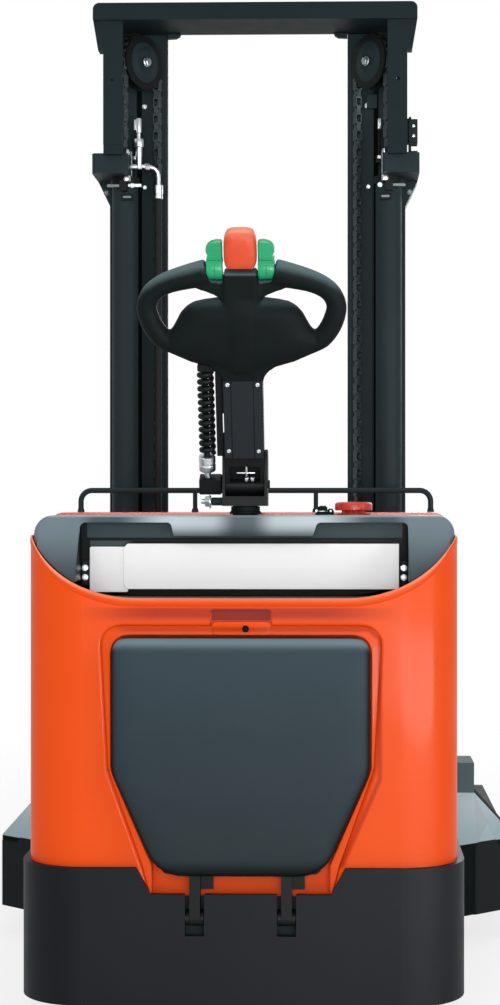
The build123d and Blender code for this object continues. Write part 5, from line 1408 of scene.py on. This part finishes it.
def set_camera():
    """The photographed view: level, from behind the machine, a little to its right."""
    eye = Vector((0.186, -4.622, 0.975))
    turn_left = math.radians(1.335)
    data = bpy.data.cameras.new("camera")
    data.sensor_width = 36.0
    data.lens = 69.13
    data.shift_x = -0.0448
    data.shift_y = 0.0025
    camera = bpy.data.objects.new("camera", data)
    camera.location = eye
    camera.rotation_euler = (math.radians(90.0), 0.0, turn_left)
    scene.collection.objects.link(camera)
    scene.camera = camera


def add_softbox(name, place, target, width, height, power):
    """Rectangular lamp that faces a point."""
    data = bpy.data.lights.new(name, "AREA")
    data.shape = "RECTANGLE"
    data.size = width
    data.size_y = height
    data.energy = power
    lamp = bpy.data.objects.new(name, data)
    lamp.location = place
    lamp.rotation_euler = (Vector(target) - Vector(place)).to_track_quat("-Z", "Y").to_euler()
    scene.collection.objects.link(lamp)
    return lamp


def add_gleam(name, place, target, width, height, power):
    """Lamp that shows in polished faces only and adds no light to matt ones."""
    lamp = add_softbox(name, place, target, width, height, power)
    lamp.visible_diffuse = False


def seen_rays(root):
    """One for rays from the camera or through glass, less off gloss, and nought for light on the object."""
    off_gloss = 0.75
    camera = root.node("ShaderNodeLightPath", output="Is Camera Ray")
    glossy = root.node("ShaderNodeLightPath", output="Is Glossy Ray")
    through = root.node("ShaderNodeLightPath", output="Is Transmission Ray")
    return root.math("MAXIMUM", camera, root.math("MAXIMUM", glossy * off_gloss, through))


def set_world():
    """Pale surroundings: white for the camera, a little less in reflections, gentler as light."""
    world = bpy.data.worlds.new("studio")
    scene.world = world
    world.use_nodes = True
    tree = world.node_tree
    root = Signal(tree)
    background = tree.nodes["Background"]
    as_light = 0.34
    strength = as_light + (1 - as_light) * seen_rays(root)
    background.inputs["Color"].default_value = (1.0, 1.0, 1.0, 1.0)
    tree.links.new(strength.socket, background.inputs["Strength"])


def add_floor():
    """Pale floor that keeps the machine's shadow and fades to white far away."""
    reach = 30.0
    mesh = bpy.data.meshes.new("floor")
    corners = [(-reach, -reach, 0.0), (reach, -reach, 0.0), (reach, reach, 0.0), (-reach, reach, 0.0)]
    mesh.from_pydata(corners, [], [(0, 1, 2, 3)])
    floor = bpy.data.objects.new("floor", mesh)
    scene.collection.objects.link(floor)
    look = Finish("pale_floor")
    distance = look.root.node("ShaderNodeVectorMath", {"operation": "LENGTH"}, {0: look.place}, "Value")
    near = 0.78
    fade = (near + (1 - near) * distance.between(1.2, 4.0)) * seen_rays(look.root)
    glow = look.root.node("ShaderNodeEmission", None, {"Color": (1.0, 1.0, 1.0, 1.0), "Strength": 1.0})
    look.done(Base_Color=colour("f4f5f6"), Roughness=0.9, Specular_IOR_Level=0.1)
    matt = Signal(look.tree, look.shader.outputs[0])
    shown = look.root.node("ShaderNodeMixShader", None, {0: fade, 1: matt, 2: glow})
    look.tree.links.new(shown.socket, look.tree.nodes["Material Output"].inputs["Surface"])
    mesh.materials.append(look.material)


set_camera()
set_world()
add_floor()
add_softbox("key", (-2.6, -4.2, 3.6), (0.0, -0.6, 0.9), width=2.4, height=2.4, power=45.0)
add_softbox("rear_fill", (0.5, -5.6, 1.3), (0.0, -1.0, 0.8), width=3.0, height=2.0, power=84.0)
add_softbox("right_strip", (3.4, -2.6, 1.9), (0.2, -0.9, 0.7), width=0.9, height=1.6, power=28.0)
add_softbox("top", (0.0, -0.4, 5.2), (0.0, 0.0, 0.8), width=3.0, height=3.0, power=80.0)
add_softbox("front_fill", (1.5, 5.0, 2.6), (0.0, 0.6, 0.8), width=2.6, height=2.2, power=100.0)
add_gleam("cover_gleam", (2.32, -3.873, 0.29), (0.394, -1.572, 0.29), width=5.0, height=0.38, power=200.0)
